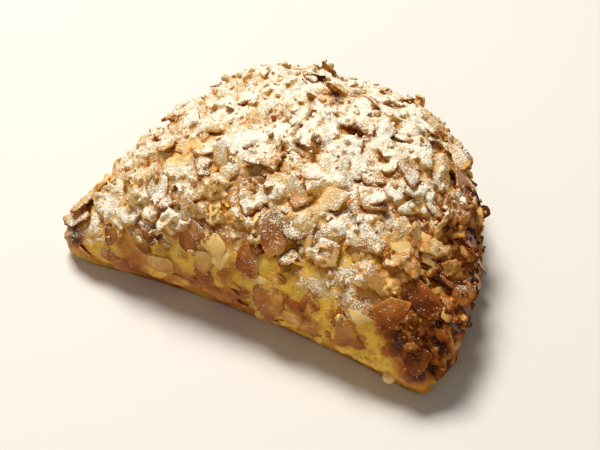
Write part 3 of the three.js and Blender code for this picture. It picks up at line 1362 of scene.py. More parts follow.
@dataclass
class Dough:
    """The folded dough itself, with a flat underside and soft blisters; sizes in millimetres."""

    form: PastryForm
    segments: int = 300
    rings: int = 220
    puffs: Relief = Relief("puffs", Pattern.CLOUDS, 9.0, 1.5)
    blisters: Relief = Relief("blisters", Pattern.CLOUDS, 3.2, 1.0)
    lips: Relief = Relief("lips", Pattern.CLOUDS, 5.0, 2.4)
    floor_fade: Span = (0.5, 4.0)
    rim_band: Span = (14.0, 20.0)
    end_band: Span = (0.86, 0.96)
    eases: int = 40
    tip_round: Span = (0.9, 0.975)
    layer_band: Span = (-34.0, 14.0)
    layer_fade: Span = (1.5, 4.0)
    paleness_and_highlight: float = 0.6
    # Scorch spots: partly real scorching, partly painted shade, as at the right corner, where they darken the
    # dough beside the big flakes.
    scorch_and_shade_rows: tuple[SpotRow, ...] = (
        (-61, 157, 3.5, 0.9), (-66, 150, 4, 0.2), (-47, 158, 6, 0.3), (-41, 192, 9, 0.35),
        (-36, 205, 8, 0.35), (-10, 171, 8, 0.35), (-3, 179, 8, 0.35), (31, 150, 6, 0.4),
        (47, 163, 2.4, 0.8), (50, 155, 4, 0.85), (46, 150, 4, 0.6), (59, 160, 5, 0.8),
        (56, 127, 10, 0.95), (58, 142, 8, 0.85), (59, 73, 14, 0.6), (54, 98, 12, 0.65),
        (62, 59, 8, 0.6), (24, 172, 5, 0.35), (-22, 168, 6, 0.35), (10, 165, 5, 0.35),
    )
    # Pale patches on the belly: partly paler dough, partly painted highlight where the egg-washed belly
    # shines.
    pale_and_highlight_rows: tuple[Spot, ...] = (
        (33, 166, 11), (41, 172, 10), (26, 156, 8), (8, 157, 5),
        (-20, 163, 6), (-28, 180, 7), (-50, 168, 7), (15, 160, 5),
    )

    def build(self) -> Piece:
        """Shapes a ball into the turnover, puffs it up and paints its bake.

        Returns:
            The dough.
        """
        deselect_all()
        bpy.ops.mesh.primitive_uv_sphere_add(segments=self.segments, ring_count=self.rings, radius=1.0)
        dough = bpy.context.object
        dough.name = dough.data.name = "dough"
        ball = points_of(dough.data)
        along = ball[:, 2].clip(-1.0, 1.0)
        around = np.arctan2(ball[:, 1], ball[:, 0])
        move_points(dough.data, self.rounded(along, around))
        merge_doubles()
        bpy.ops.object.mode_set(mode="EDIT")
        bpy.ops.mesh.normals_make_consistent(inside=False)
        bpy.ops.object.mode_set(mode="OBJECT")
        self.puff_up(dough)
        bpy.ops.object.shade_smooth()
        self.paint_bake(dough.data)
        return dough

    def rounded(self, along: Array, around: Array) -> Array:
        """Points of the skin, with each tip closed by a round end.

        Args:
            along: Shares of the half fold.
            around: Angles round the section, in radians.

        Returns:
            Points in metres, as rows.
        """
        start, stop = self.tip_round
        swing = np.clip((np.abs(along) - start) / (1.0 - start), 0.0, 1.0) * math.pi / 2.0
        drawn = np.where(swing > 0.0, np.sign(along) * (start + (stop - start) * np.sin(swing)), along)
        ring = np.linspace(-math.pi, math.pi, 72, endpoint=False)
        middle = self.form.skin(drawn[:, None], ring[None, :]).mean(axis=1)
        return middle + (self.form.skin(drawn, around) - middle) * np.cos(swing)[:, None]

    def puff_up(self, dough: Piece) -> None:
        """Rounds the edges and raises soft swellings and small blisters, everywhere but on the underside.

        Args:
            dough: The dough.
        """
        points = points_of(dough.data)
        free = smooth(points[:, 2] / MM, *self.floor_fade)
        low = 1.0 - smooth(points[:, 2] / MM, *self.rim_band)
        ends = smooth(np.abs(self.form.locate(points)[0]), *self.end_band)
        skin = weigh(dough, "free_skin", free)
        edges = weigh(dough, "edges", free * np.maximum(low, ends))
        apply_modifier(dough, "SMOOTH", factor=0.5, iterations=self.eases, vertex_group=edges)
        self.puffs.raise_on(dough, skin)
        self.blisters.raise_on(dough, skin)
        self.lips.raise_on(dough, edges)
        dough.vertex_groups.clear()

    def paint_bake(self, mesh: Mesh) -> None:
        """Paints where the dough is scorched, partly as painted shade, where it is paler, partly as painted
        highlight, and where its layers show.

        Args:
            mesh: The dough's mesh.
        """
        points = points_of(mesh)
        bake = np.zeros(len(points))
        # Scorching and painted shade.
        for x, around, radius, strength in self.scorch_and_shade_rows:
            patch = round_patch(points, self.form.spot(x, around), radius, 0.25)
            bake = np.maximum(bake, strength * patch)
        # Paler dough and painted highlight.
        for x, around, radius in self.pale_and_highlight_rows:
            bake -= self.paleness_and_highlight * round_patch(points, self.form.spot(x, around), radius, 0.3)
        paint(mesh, "bake", bake)
        angles = np.linspace(*np.radians(self.layer_band), 12)
        belt = self.form.skin(np.linspace(-0.9, 0.9, 90)[None, :], angles[:, None]).reshape(-1, 3)
        tree = BVHTree.FromPolygons(belt.tolist(), [(i, i, i) for i in range(len(belt))])
        gaps = np.array([tree.find_nearest(Vector(point), 0.01)[3] or 0.01 for point in points])
        paint(mesh, "layers", 1.0 - smooth(gaps / MM, *self.layer_fade))


@dataclass
class Crumble:
    """The crumbly crust between the almonds: a coat that swells out of the dough; sizes in millimetres.

    Its upper side is a fine grid over the dome. Its edges run down to a spine inside the dough, which
    closes it.
    """

    layout: AlmondLayout
    columns: int = 270
    rows: int = 262
    reach_along: float = 0.98
    reach_around: Span = (-14.0, 172.0)
    sunk: float = -1.3
    rim_tuck: float = 2.0
    coat: float = 1.9
    flank_heap: float = 3.0
    crown_coat: float = 0.4
    spine_height: float = 9.0
    least: float = 0.35
    reliefs: tuple[Relief, ...] = (
        Relief("drifts", Pattern.CLOUDS, 13.0, 4.2),
        Relief("clods", Pattern.CELLS, 8.5, -5.6),
        Relief("crumbs", Pattern.CELLS, 2.0, -1.4),
        Relief("grit", Pattern.CLOUDS, 0.9, 0.9),
    )

    def cover(self, along: Array, around: Array) -> Array:
        """How thick the coat is.

        Args:
            along: Shares of the half fold.
            around: Angles round the section, in radians.

        Returns:
            Shares from 0 to 1.
        """
        degrees = np.degrees(around)
        front = 1.0 - smooth(degrees - self.layout.crust_end(along), 124.0, 152.0)
        ends = 1.0 - smooth(-along, 0.78, 0.93) - smooth(along, 0.89, 0.96)
        return front * ends * smooth(degrees, -14.0, 14.0)

    def build(self) -> Piece:
        """Drapes a grid over the dome, closes it inside the dough and roughens it.

        Returns:
            The crumble.
        """
        form = self.layout.form
        deselect_all()
        bpy.ops.mesh.primitive_grid_add(x_subdivisions=self.columns, y_subdivisions=self.rows, size=2.0)
        crumble = bpy.context.object
        crumble.name = crumble.data.name = "crumble"
        flat = points_of(crumble.data)
        along = self.reach_along * np.sin(flat[:, 0].clip(-1.0, 1.0) * math.pi / 2.0)
        drop = 1.0 - flat[:, 1].clip(-1.0, 1.0)
        around = np.radians(within(self.reach_around, drop / 2.0))
        share = self.cover(along, around)
        normal = form.normal(along, around)
        degrees = np.degrees(around)
        heap = smooth(along, 0.76, 0.9) * band(degrees, (45.0, 75.0), (122.0, 140.0))
        snow = band(degrees, (30.0, 55.0), (100.0, 122.0)) * share
        tucked = self.sunk * (1.0 + self.rim_tuck * (1.0 - share) * (1.0 - smooth(degrees, 6.0, 26.0)))
        thick = tucked + self.coat * share + self.flank_heap * heap + self.crown_coat * snow
        move_points(crumble.data, form.skin(along, around) + normal * (thick * MM)[:, None])
        close_to_spine(crumble, self.spine_height)
        self.roughen(crumble)
        bpy.ops.object.shade_smooth()
        self.paint_tone_and_shade(crumble.data)
        return crumble

    def roughen(self, crumble: Piece) -> None:
        """Raises drifts, clods and crumbs where the coat is thick.

        Args:
            crumble: The coat.
        """
        points = points_of(crumble.data)
        along, around = self.layout.form.locate(points)
        share = self.least + (1.0 - self.least) * self.cover(along, around)
        share[points[:, 2] < (self.spine_height + 0.5) * MM] = 0.0
        group = weigh(crumble, "coat", share)
        for relief in self.reliefs:
            relief.raise_on(crumble, group)
        crumble.vertex_groups.clear()

    def paint_tone_and_shade(self, mesh: Mesh) -> None:
        """Paints the toasting, darker on the right flank and paler on the left, with painted shade that
        darkens the hollows.

        Args:
            mesh: The crumble's mesh.
        """
        points = points_of(mesh)
        along, _ = self.layout.form.locate(points)
        # Painted shade: the tone darkens where the coat lies low, in its hollows.
        hollow_shade = 1.0 - smooth(self.layout.form.height_over(points) / MM, -0.8, 1.6)
        tone = 0.16 + 0.46 * hollow_shade + 0.56 * smooth(along, 0.55, 0.85) - 0.1 * smooth(-along, 0.1, 0.5)
        paint(mesh, "tone", tone)


@dataclass
class AlmondCrust:
    """The whole flakes of the crust, lying where the solid has them."""

    layout: AlmondLayout
    rng: Chance
    cut: FlakeCut = FlakeCut()
    broken: FlakeCut = FlakeCut(
        (0.8, 1.1), taper=0.12, curl=0.8, rim_share=0.8, ragged=0.03, break_reach=(0.6, 0.82)
    )
    broken_sides: int = 4
    whole_length: float = 18.0
    lift: float = 1.0
    marked_lift: float = 0.8
    belly_lift: float = 0.3
    belly: Span = (138.0, 156.0)
    belly_tone: float = 0.53
    flank: Span = (44.0, 58.0)
    flank_tone: float = 0.2
    uneven: float = 0.14
    buried_to: float = 124.0
    marked_clean: float = 0.38
    marked_edge_highlight: float = -0.6
    floor_gap: float = 0.6
    sharp: float = 50.0

    def build(self) -> tuple[Piece, Piece]:
        """Shapes each flake and lays it on the skin.

        Returns:
            The free flakes and the ones baked into the crust, each as one piece.
        """
        blank = PlateBlank(24, (0.1, 0.32, 0.3))
        free, sunk = MeshBatch(), MeshBatch()
        marked = self.layout.marked()
        form = self.layout.form
        for number, place in enumerate(marked + self.layout.scattered(marked)):
            stands_out = number < len(marked)
            normal = form.normal(place.along, place.around)
            turn = turn_to(normal) @ spun(place.spin) @ leaned(place.lean)
            if stands_out:
                breaks = self.broken_sides if place.length < self.whole_length else 1
                shape = self.broken.shape(blank, place.length, place.width, breaks, self.rng)
            else:
                shape = self.cut.shape(blank, place.length, place.width, place.breaks + 1, self.rng)
            degrees = math.degrees(place.around)
            on_belly = float(smooth(degrees, *self.belly))
            lift = (self.lift + self.marked_lift * stands_out) * (1.0 - on_belly) + self.belly_lift * on_belly
            points = shape @ turn.T + form.skin(place.along, place.around) + normal * lift * MM
            if points[:, 2].min() < self.floor_gap * MM:
                continue
            flank = float(smooth(points[:, 0].mean() / MM, *self.flank))
            tone = place.tone + self.flank_tone * flank * (place.tone < 0.6)
            if not stands_out:
                tone += (self.belly_tone - tone) * on_belly
            buried = not stands_out and number % 3 and degrees < self.buried_to
            # A negative edge lightens the rims of the marked flakes: a painted highlight where their thin
            # edges catch the light.
            edge = self.marked_edge_highlight if stands_out else 1.0 - 0.7 * on_belly
            (sunk if buried else free).add(
                points,
                blank.triangles,
                tone=tone + blank.lopsided(self.uneven, self.rng),
                edge=edge * blank.rim,
                clean=self.marked_clean if stands_out else 0.0,
            )
        return free.to_object("almond_flakes", self.sharp), sunk.to_object("sunk_flakes")


@dataclass
class DoughPeels:
    """Leaves of the dough that lift off the fold; sizes in millimetres."""

    form: PastryForm
    rng: Chance
    count: int = 64
    length: Span = (3.0, 9.0)
    width_share: Span = (0.35, 0.75)
    lean: float = 7.0
    bake: Span = (-0.15, 0.25)
    sharp: float = 40.0
    cut: FlakeCut = FlakeCut(
        (0.25, 0.5), curl=0.7, warp=0.4, rim_share=0.6, ragged=0.05, break_reach=(0.6, 0.95)
    )

    def density(self, along: Array, around: Array) -> Array:
        """How thickly the leaves lie at places on the skin, from 0 to 1."""
        middle = 1.0 - smooth(np.abs(along + 0.08), 0.66, 0.76)
        return band(np.degrees(around), (140.0, 156.0), (186.0, 192.0)) * middle

    def build(self, pile: Pile) -> Piece:
        """Lays the leaves on the fold.

        Args:
            pile: What they rest on.

        Returns:
            The leaves as one piece.
        """
        rng = self.rng
        blank = PlateBlank(20, (0.3,))
        batch = MeshBatch()
        for along, around in zip(*SkinSampler(self.form, rng).pick(self.count, self.density)):
            normal = self.form.normal(along, around)
            seat, _ = pile.seat(self.form.skin(along, around), normal)
            turn = turn_to(normal) @ spun(rng.normal(0.0, 0.5))
            turn = turn @ leaned(math.radians(rng.uniform(-self.lean, self.lean)))
            length = rng.uniform(*self.length)
            width = length * rng.uniform(*self.width_share)
            shape = self.cut.shape(blank, length, width, rng.integers(1, 4), rng)
            points = shape @ turn.T + seat + normal * SEAT_GAP * MM
            if points[:, 2].min() > FLOOR_GAP * MM:
                batch.add(points, blank.triangles, bake=rng.uniform(*self.bake))
        return batch.to_object("dough_peels", self.sharp)


@dataclass(frozen=True)
class ChipSort:
    """A sort of strewn chips: number, length in millimetres, width as a share of it, and lean in degrees."""

    count: int
    length: Span
    width_share: Span
    lean: float


@dataclass
class AlmondChips:
    """Broken flakes and slivers that fill the crust; sizes in millimetres."""

    layout: AlmondLayout
    rng: Chance
    blank: PlateBlank = field(default_factory=lambda: PlateBlank(14, (0.3,)))
    sorts: tuple[ChipSort, ...] = (
        ChipSort(240, (6.5, 14.0), (0.5, 0.85), 42.0),
        ChipSort(240, (2.5, 6.5), (0.25, 0.7), 46.0),
    )
    cut: FlakeCut = FlakeCut(
        (0.4, 0.85), curl=0.6, warp=0.45, rim_share=0.8, ragged=0.06, break_reach=(0.3, 0.8)
    )
    bend: Span = (-0.8, 1.0)
    gap: Span = (0.1, 0.7)
    tones: tuple[float, ...] = (0.1, 0.3, 0.45, 0.62)
    tone_odds: tuple[float, ...] = (0.3, 0.32, 0.23, 0.15)
    tone_spread: float = 0.06
    flank: Span = (40.0, 56.0)
    flank_tone: float = 0.34
    sunk_share: float = 0.75
    clean_share: float = 0.45
    clean_length: float = 8.0
    clean_tone: Span = (0.0, 0.6)
    clean: float = 0.95
    sharp: float = 32.0
    placed_cut: FlakeCut = FlakeCut(
        (0.4, 0.7), taper=0.15, curl=0.4, warp=0.3, ragged=0.03, break_reach=(0.5, 0.8)
    )
    placed_growth: float = 1.15
    placed_sides: int = 4
    placed_lean: float = 6.0
    placed_uneven: float = 0.16
    placed_clean: float = 0.6
    marked_rows: tuple[ChipRow, ...] = (
        (38, 153, 0, 8, 5, Toast.PALE), (-14, 161, 170, 8.5, 7, Toast.GOLDEN),
        (-30, 91, 70, 10, 6, Toast.PALE), (42, 110, 5, 8, 6, Toast.PALE), (48, 98, 15, 8, 6, Toast.PALE),
        (50, 106, 160, 7, 3, Toast.PALE), (54, 103, 0, 8, 8, Toast.GOLDEN),
        (57, 105, 175, 5, 5, Toast.GOLDEN), (60, 111, 155, 9, 3, Toast.TOASTED),
        (-47, 157, 80, 8, 6, Toast.TOASTED), (-32, 155, 40, 8, 6, Toast.DARK),
        (-35, 162, 30, 7, 6, Toast.TOASTED), (-20, 154, 20, 10, 7, Toast.TOASTED),
        (-8, 157, 60, 8, 5, Toast.PALE), (5, 160, 10, 6, 4, Toast.PALE), (20, 161, 80, 8, 2.5, Toast.TOASTED),
        (16, 173, 165, 9, 5, Toast.GOLDEN), (31, 163, 0, 4, 4, Toast.TOASTED),
        (11, 196, 10, 9, 4, Toast.PALE),
    )

    def density(self, along: Array, around: Array) -> Array:
        """How thickly the chips lie.

        Args:
            along: Shares of the half fold.
            around: Angles round the section, in radians.

        Returns:
            Shares of the thickest.
        """
        upper = smooth(np.degrees(around), -22.0, 8.0)
        lower = np.degrees(around) - self.layout.crust_end(along)
        left = (1.0 - 0.55 * smooth(-along, 0.05, 0.35)) * (1.0 - smooth(-along, 0.7, 0.8))
        front = 1.0 - smooth(lower, 138.0, 152.0)
        return self.layout.cover(along, np.radians(lower)) ** 1.4 * upper * left * front

    def build(self, pile: Pile) -> tuple[Piece, Piece]:
        """Lays the placed chips, then broken flakes and slivers, on the pile.

        Args:
            pile: What they rest on.

        Returns:
            The free chips and the ones baked into the crust, each as one piece.
        """
        free, sunk = MeshBatch(), MeshBatch()
        self.lay_placed(pile, free)
        for sort in self.sorts:
            self.strew(sort, pile, free, sunk)
        return free.to_object("almond_chips", self.sharp), sunk.to_object("sunk_chips")

    def lay_placed(self, pile: Pile, free: MeshBatch) -> None:
        """Lays the chips that stand out, one by one.

        Args:
            pile: What they rest on.
            free: Takes the chips.
        """
        form, rng, blank = self.layout.form, self.rng, self.blank
        for x, around, spin, length, width, toast in self.marked_rows:
            along, angle = form.along_at(x), math.radians(around)
            normal = form.normal(along, angle)
            seat, _ = pile.seat(form.skin(along, angle), normal)
            lean = rng.uniform(-self.placed_lean, self.placed_lean)
            turn = turn_to(normal) @ spun(math.radians(spin)) @ leaned(math.radians(lean))
            sides = (self.placed_growth * length, self.placed_growth * width)
            shape = self.placed_cut.shape(blank, *sides, self.placed_sides, rng)
            points = shape @ turn.T + seat + normal * SEAT_GAP * MM
            tone = toast.value - 0.06 + blank.lopsided(self.placed_uneven, rng)
            free.add(points, blank.triangles, tone=tone, edge=0.3 * blank.rim, clean=self.placed_clean)

    def strew(self, sort: ChipSort, pile: Pile, free: MeshBatch, sunk: MeshBatch) -> None:
        """Strews one sort of chips.

        Args:
            sort: The sort.
            pile: What they rest on.
            free: Takes the chips that lie free.
            sunk: Takes the ones that are baked into the crust.
        """
        form, rng, blank = self.layout.form, self.rng, self.blank
        bare = self.layout.bare_spots()
        for along, around in zip(*SkinSampler(form, rng).pick(sort.count, self.density)):
            point = form.skin(along, around)
            if self.layout.on_bare(point, bare):
                continue
            normal = form.normal(along, around)
            seat, facing = pile.seat(point, normal)
            mean = normal * 0.6 + facing * 0.4
            turn = turn_to(mean / np.linalg.norm(mean)) @ spun(rng.uniform(0.0, FULL_TURN))
            turn = turn @ leaned(math.radians(rng.uniform(-sort.lean, sort.lean)))
            length = rng.uniform(*sort.length)
            width = length * rng.uniform(*sort.width_share)
            shape = self.cut.shape(blank, length, width, rng.integers(2, 5), rng, rng.uniform(*self.bend))
            points = shape @ turn.T + seat + normal * rng.uniform(*self.gap) * MM
            if points[:, 2].min() < FLOOR_GAP * MM:
                continue
            tone = rng.choice(self.tones, p=self.tone_odds) + rng.normal(0.0, self.tone_spread)
            tone += self.flank_tone * float(smooth(point[0] / MM, *self.flank))
            edge = blank.rim * rng.uniform(0.3, 1.0)
            degrees = math.degrees(around)
            lower = min(1.0, float(smooth(degrees, 100.0, 122.0) + smooth(along, 0.55, 0.75)))
            clean_odds = self.clean_share * float(smooth(degrees, 72.0, 92.0))
            if rng.uniform() < self.sunk_share * (1.0 - 0.6 * lower):
                sunk.add(points, blank.triangles, tone=tone, edge=edge)
            elif rng.uniform() < clean_odds and length < self.clean_length:
                tone = rng.uniform(*self.clean_tone)
                free.add(points, blank.triangles, tone=tone, edge=edge, clean=self.clean)
            else:
                free.add(points, blank.triangles, tone=tone, edge=edge, clean=0.0)


@dataclass
class Crumbs:
    """Crumbs of baked sugar and almond, in clusters and loose; sizes in millimetres."""

    layout: AlmondLayout
    rng: Chance
    clusters: int = 260
    cluster_size: tuple[int, int] = (4, 11)
    cluster_reach: float = 3.2
    loose: int = 900
    loose_share: float = 0.75
    size: Span = (0.7, 3.0)
    small_power: float = 2.2
    lumps: float = 0.22
    waves: float = 2.2
    reach_along: float = 0.97
    tone: float = 0.2
    tone_spread: float = 0.12
    flank: Span = (36.0, 56.0)
    flank_tone: float = 0.48

    def blank(self) -> tuple[Array, Array]:
        """A small ball, modelled once.

        Returns:
            Its points, of radius 1, and its triangles.
        """
        deselect_all()
        bpy.ops.mesh.primitive_ico_sphere_add(subdivisions=2, radius=1.0)
        ball = bpy.context.object
        points, triangles = points_of(ball.data), triangles_of(ball.data)
        bpy.data.objects.remove(ball)
        return points, triangles

    def density(self, along: Array, around: Array) -> Array:
        """How thickly the crumbs lie.

        Args:
            along: Shares of the half fold.
            around: Angles round the section, in radians.

        Returns:
            Shares of the thickest.
        """
        flank = 0.8 * smooth(along, 0.62, 0.85) + 1.0 * smooth(-along, 0.05, 0.35)
        upper = smooth(np.degrees(around), -20.0, 10.0) * (1.0 + flank)
        return self.layout.cover(along, around - np.radians(self.layout.crust_end(along))) ** 1.5 * upper

    def places(self) -> list[tuple[float, float, bool]]:
        """Picks where the crumbs lie, first the clusters and then the loose ones.

        Returns:
            Places along and around, and whether the crumb is loose.
        """
        form, rng = self.layout.form, self.rng
        sampler = SkinSampler(form, rng)
        places = []
        for along, around in zip(*sampler.pick(self.clusters, self.density)):
            for _ in range(rng.integers(*self.cluster_size)):
                shift = rng.normal(0.0, self.cluster_reach, 2)
                places.append((along + shift[0] / form.fold_left, around + shift[1] / form.height, False))
        loose = zip(*sampler.pick(self.loose, self.density))
        return places + [(along, around, True) for along, around in loose]

    def build(self, pile: Pile) -> tuple[Piece, Piece]:
        """Lays the crumbs on the pile.

        Args:
            pile: What they rest on.

        Returns:
            The loose crumbs and the clusters baked into the crust, each as one piece.
        """
        form, rng = self.layout.form, self.rng
        ball, triangles = self.blank()
        free, sunk = MeshBatch(), MeshBatch()
        bare = self.layout.bare_spots()
        for along, around, loose in self.places():
            if abs(along) > self.reach_along:
                continue
            point, normal = form.skin(along, around), form.normal(along, around)
            if self.layout.on_bare(point, bare):
                continue
            seat, _ = pile.seat(point, normal)
            share = self.loose_share if loose else 1.0
            size = share * within(self.size, rng.uniform() ** self.small_power) / 2.0
            waves = rng.normal(0.0, self.waves, (3, 3))
            starts = rng.uniform(0.0, FULL_TURN, 3)
            lumpy = 1.0 + self.lumps * np.sin(ball @ waves.T + starts).sum(axis=1)
            shape = ball * lumpy[:, None] * np.array([1.0, rng.uniform(0.7, 1.0), rng.uniform(0.5, 0.8)])
            turn = turn_to(normal) @ spun(rng.uniform(0.0, FULL_TURN)) @ leaned(rng.uniform(-0.6, 0.6))
            points = shape @ turn.T * size * MM + seat + normal * 0.25 * size * MM
            if points[:, 2].min() < FLOOR_GAP * MM:
                continue
            tone = self.tone + rng.normal(0.0, self.tone_spread)
            tone += self.flank_tone * float(smooth(point[0] / MM, *self.flank))
            (free if loose else sunk).add(points, triangles, tone=tone)
        return free.to_object("crumbs"), sunk.to_object("sunk_crumbs")


@dataclass
class BakedCrust:
    """Crumble, clusters of crumbs and sunk almonds, baked into one rough coat; sizes in millimetres."""

    form: PastryForm
    grid: float = 0.5
    depth: float = 1.5
    spine_height: float = 9.0
    soften: float = 0.45
    most_triangles: int = 185000

    def build(self, parts: list[Piece]) -> Piece:
        """Melts the parts into one skin, keeps its outer side and carries their toasting, with the crumble's
        painted hollow shade, over.

        Args:
            parts: The parts, which are used up.

        Returns:
            The crust.
        """
        deselect_all()
        for part in parts:
            part.select_set(True)
        crust = parts[0]
        bpy.context.view_layer.objects.active = crust
        bpy.ops.object.join()
        crust.name = crust.data.name = "baked_crust"
        triangles = triangles_of(crust.data)
        # The tone carries the painted shade of the crumble's hollows.
        looks = {name: painted_values(crust.data, name)[triangles].mean(axis=1) for name in ("tone", "edge")}
        source = BVHTree.FromPolygons(points_of(crust.data).tolist(), triangles.tolist())
        apply_modifier(crust, "REMESH", mode="VOXEL", voxel_size=self.grid * MM)
        crust = self.trim(crust)
        ratio = min(1.0, self.most_triangles / len(triangles_of(crust.data)))
        apply_modifier(crust, "DECIMATE", ratio=ratio)
        close_to_spine(crust, self.spine_height)
        apply_modifier(crust, "SMOOTH", factor=self.soften, iterations=1)
        bpy.ops.object.shade_smooth()
        nearest = np.array([source.find_nearest(Vector(point))[2] for point in points_of(crust.data)])
        for name, values in looks.items():
            paint(crust.data, name, values[nearest])
        return crust

    def trim(self, crust: Piece) -> Piece:
        """Deletes what lies deep inside the dough, and whatever doesn't hang together with the rest.

        Args:
            crust: The crust.

        Returns:
            The part that is left.
        """
        deep = self.form.height_over(points_of(crust.data)) < -self.depth * MM
        clear_selection("VERT")
        crust.data.vertices.foreach_set("select", deep)
        bpy.ops.object.mode_set(mode="EDIT")
        bpy.ops.mesh.delete(type="VERT")
        bpy.ops.mesh.separate(type="LOOSE")
        bpy.ops.object.mode_set(mode="OBJECT")
        islands = sorted(bpy.context.selected_objects, key=lambda island: len(island.data.vertices))
        for island in islands[:-1]:
            bpy.data.meshes.remove(island.data)
        whole = islands[-1]
        whole.name = whole.data.name = "baked_crust"
        bpy.context.view_layer.objects.active = whole
        return whole


@dataclass
class SugarSieve:
    """How icing sugar falls on the pastry: where it came from and where it was shaken most."""

    pile: Pile
    layout: AlmondLayout
    crust: Piece
    from_way: Spot = (-0.14, 0.0, 0.99)
    spread: float = 0.8
    looks: int = 6
    reach: float = 0.03
    facing: Span = (0.16, 0.84)
    shelter_power: float = 2.3
    amount: float = 1.02
    patchiness: float = 0.3
    drift: float = 0.4
    drift_power: float = 1.5
    thick: float = 0.3
    eases: int = 3
    spills: tuple[SpotRow, ...] = (
        (29, 142, 5, 0.7), (31, 146, 4, 0.75), (24, 150, 5, 0.75), (20, 155, 4, 0.7), (36, 153, 4, 0.6),
        (2, 151, 4, 0.6), (-40, 166, 5, 0.6), (-33, 168, 4, 0.6), (-28, 152, 5, 0.5), (-54, 152, 8, 0.6),
        (-63, 142, 6, 0.6), (-47, 160, 6, 0.5), (8, 161, 5, 0.3), (40, 165, 4, 0.3), (-8, 166, 5, 0.3),
        (-50, 149, 13, 0.75), (-35, 151, 13, 0.8), (-22, 149, 11, 0.7),
    )

    def middle_way(self) -> Array:
        """Direction towards the middle of the sieve."""
        return np.array(self.from_way) / np.linalg.norm(self.from_way)

    def ways(self) -> Array:
        """Directions towards the sieve, spread about its middle.

        Returns:
            Unit vectors, as rows.
        """
        angles = np.arange(self.looks) * FULL_TURN / self.looks
        tilt = self.spread * np.where(np.arange(self.looks) % 2, 0.5, 1.0)
        ring = np.stack([np.sin(tilt) * np.cos(angles), np.sin(tilt) * np.sin(angles), np.cos(tilt)], axis=-1)
        return ring @ turn_to(self.middle_way()).T

    def shaken(self, points: Array) -> Array:
        """How much sugar was shaken over places: less on the left and on the right flank, and patchy.

        Args:
            points: Places in metres.

        Returns:
            Shares of the full amount.
        """
        x, y = points[:, 0] / MM, points[:, 1] / MM
        along, around = self.layout.form.locate(points)
        left = 0.8 + 0.2 * smooth(along, -0.6, -0.05) - 0.4 * smooth(-along, 0.72, 0.86)
        degrees = np.degrees(around)
        right = 1.0 - 0.74 * smooth(along + 0.14 * smooth(degrees, 80.0, 125.0), 0.62, 0.84)
        front = 1.0 - 0.22 * smooth(degrees, 96.0, 116.0)
        front -= 0.42 * smooth(degrees - self.layout.crust_end(along), 132.0, 156.0)
        patch = np.sin(x / 6.1 + 0.7) * np.sin(y / 5.3 + 2.1) + 0.7 * np.sin(x / 3.7 - y / 4.4 + 1.3)
        return self.amount * left * right * front * (1.0 + self.patchiness * patch)

    def spilt(self, points: Array) -> Array:
        """Sugar that slid down over the fold in small patches.

        Args:
            points: Places in metres.

        Returns:
            Amounts from 0 to 1.
        """
        amount = np.zeros(len(points))
        for x, around, radius, share in self.spills:
            patch = round_patch(points, self.layout.form.spot(x, around), radius, 0.2)
            amount = np.maximum(amount, share * patch)
        return amount

    def dust(self) -> None:
        """Paints each piece of the pile with the sugar it holds, and lets thick sugar stand proud."""
        ways, middle = self.ways(), self.middle_way()
        painted = []
        for piece in self.pile.pieces:
            points, normals = points_of(piece.data), normals_of(piece.data)
            facing = smooth(normals @ middle, *self.facing)
            held = np.zeros(len(points))
            open_to = np.flatnonzero(facing > 0.0)
            spots, up = points[open_to], facing[open_to]
            seen = self.pile.openness(spots, normals[open_to], ways, self.reach)
            held[open_to] = up * seen**self.shelter_power * self.shaken(spots)
            held[open_to] += up**0.5 * seen * self.spilt(spots)
            held *= 1.0 - painted_values(piece.data, "clean")
            painted.append((piece, points, held.clip(0.0, 1.0)))
        for piece, points, held in painted:
            paint(piece.data, "sugar", held)
            raised = points.copy()
            raised[:, 2] += self.drift * MM * held**self.drift_power
            move_points(piece.data, raised)
            if piece == self.crust:
                self.round_off(piece, held)

    def round_off(self, piece: Piece, held: Array) -> None:
        """Rounds off the crust under thick sugar.

        Args:
            piece: The piece.
            held: The sugar that its vertices hold.
        """
        deselect_all()
        bpy.context.view_layer.objects.active = piece
        snow = weigh(piece, "snow", np.where(held > self.thick, held**self.drift_power, 0.0))
        apply_modifier(piece, "SMOOTH", factor=0.5, iterations=self.eases, vertex_group=snow)
        piece.vertex_groups.clear()


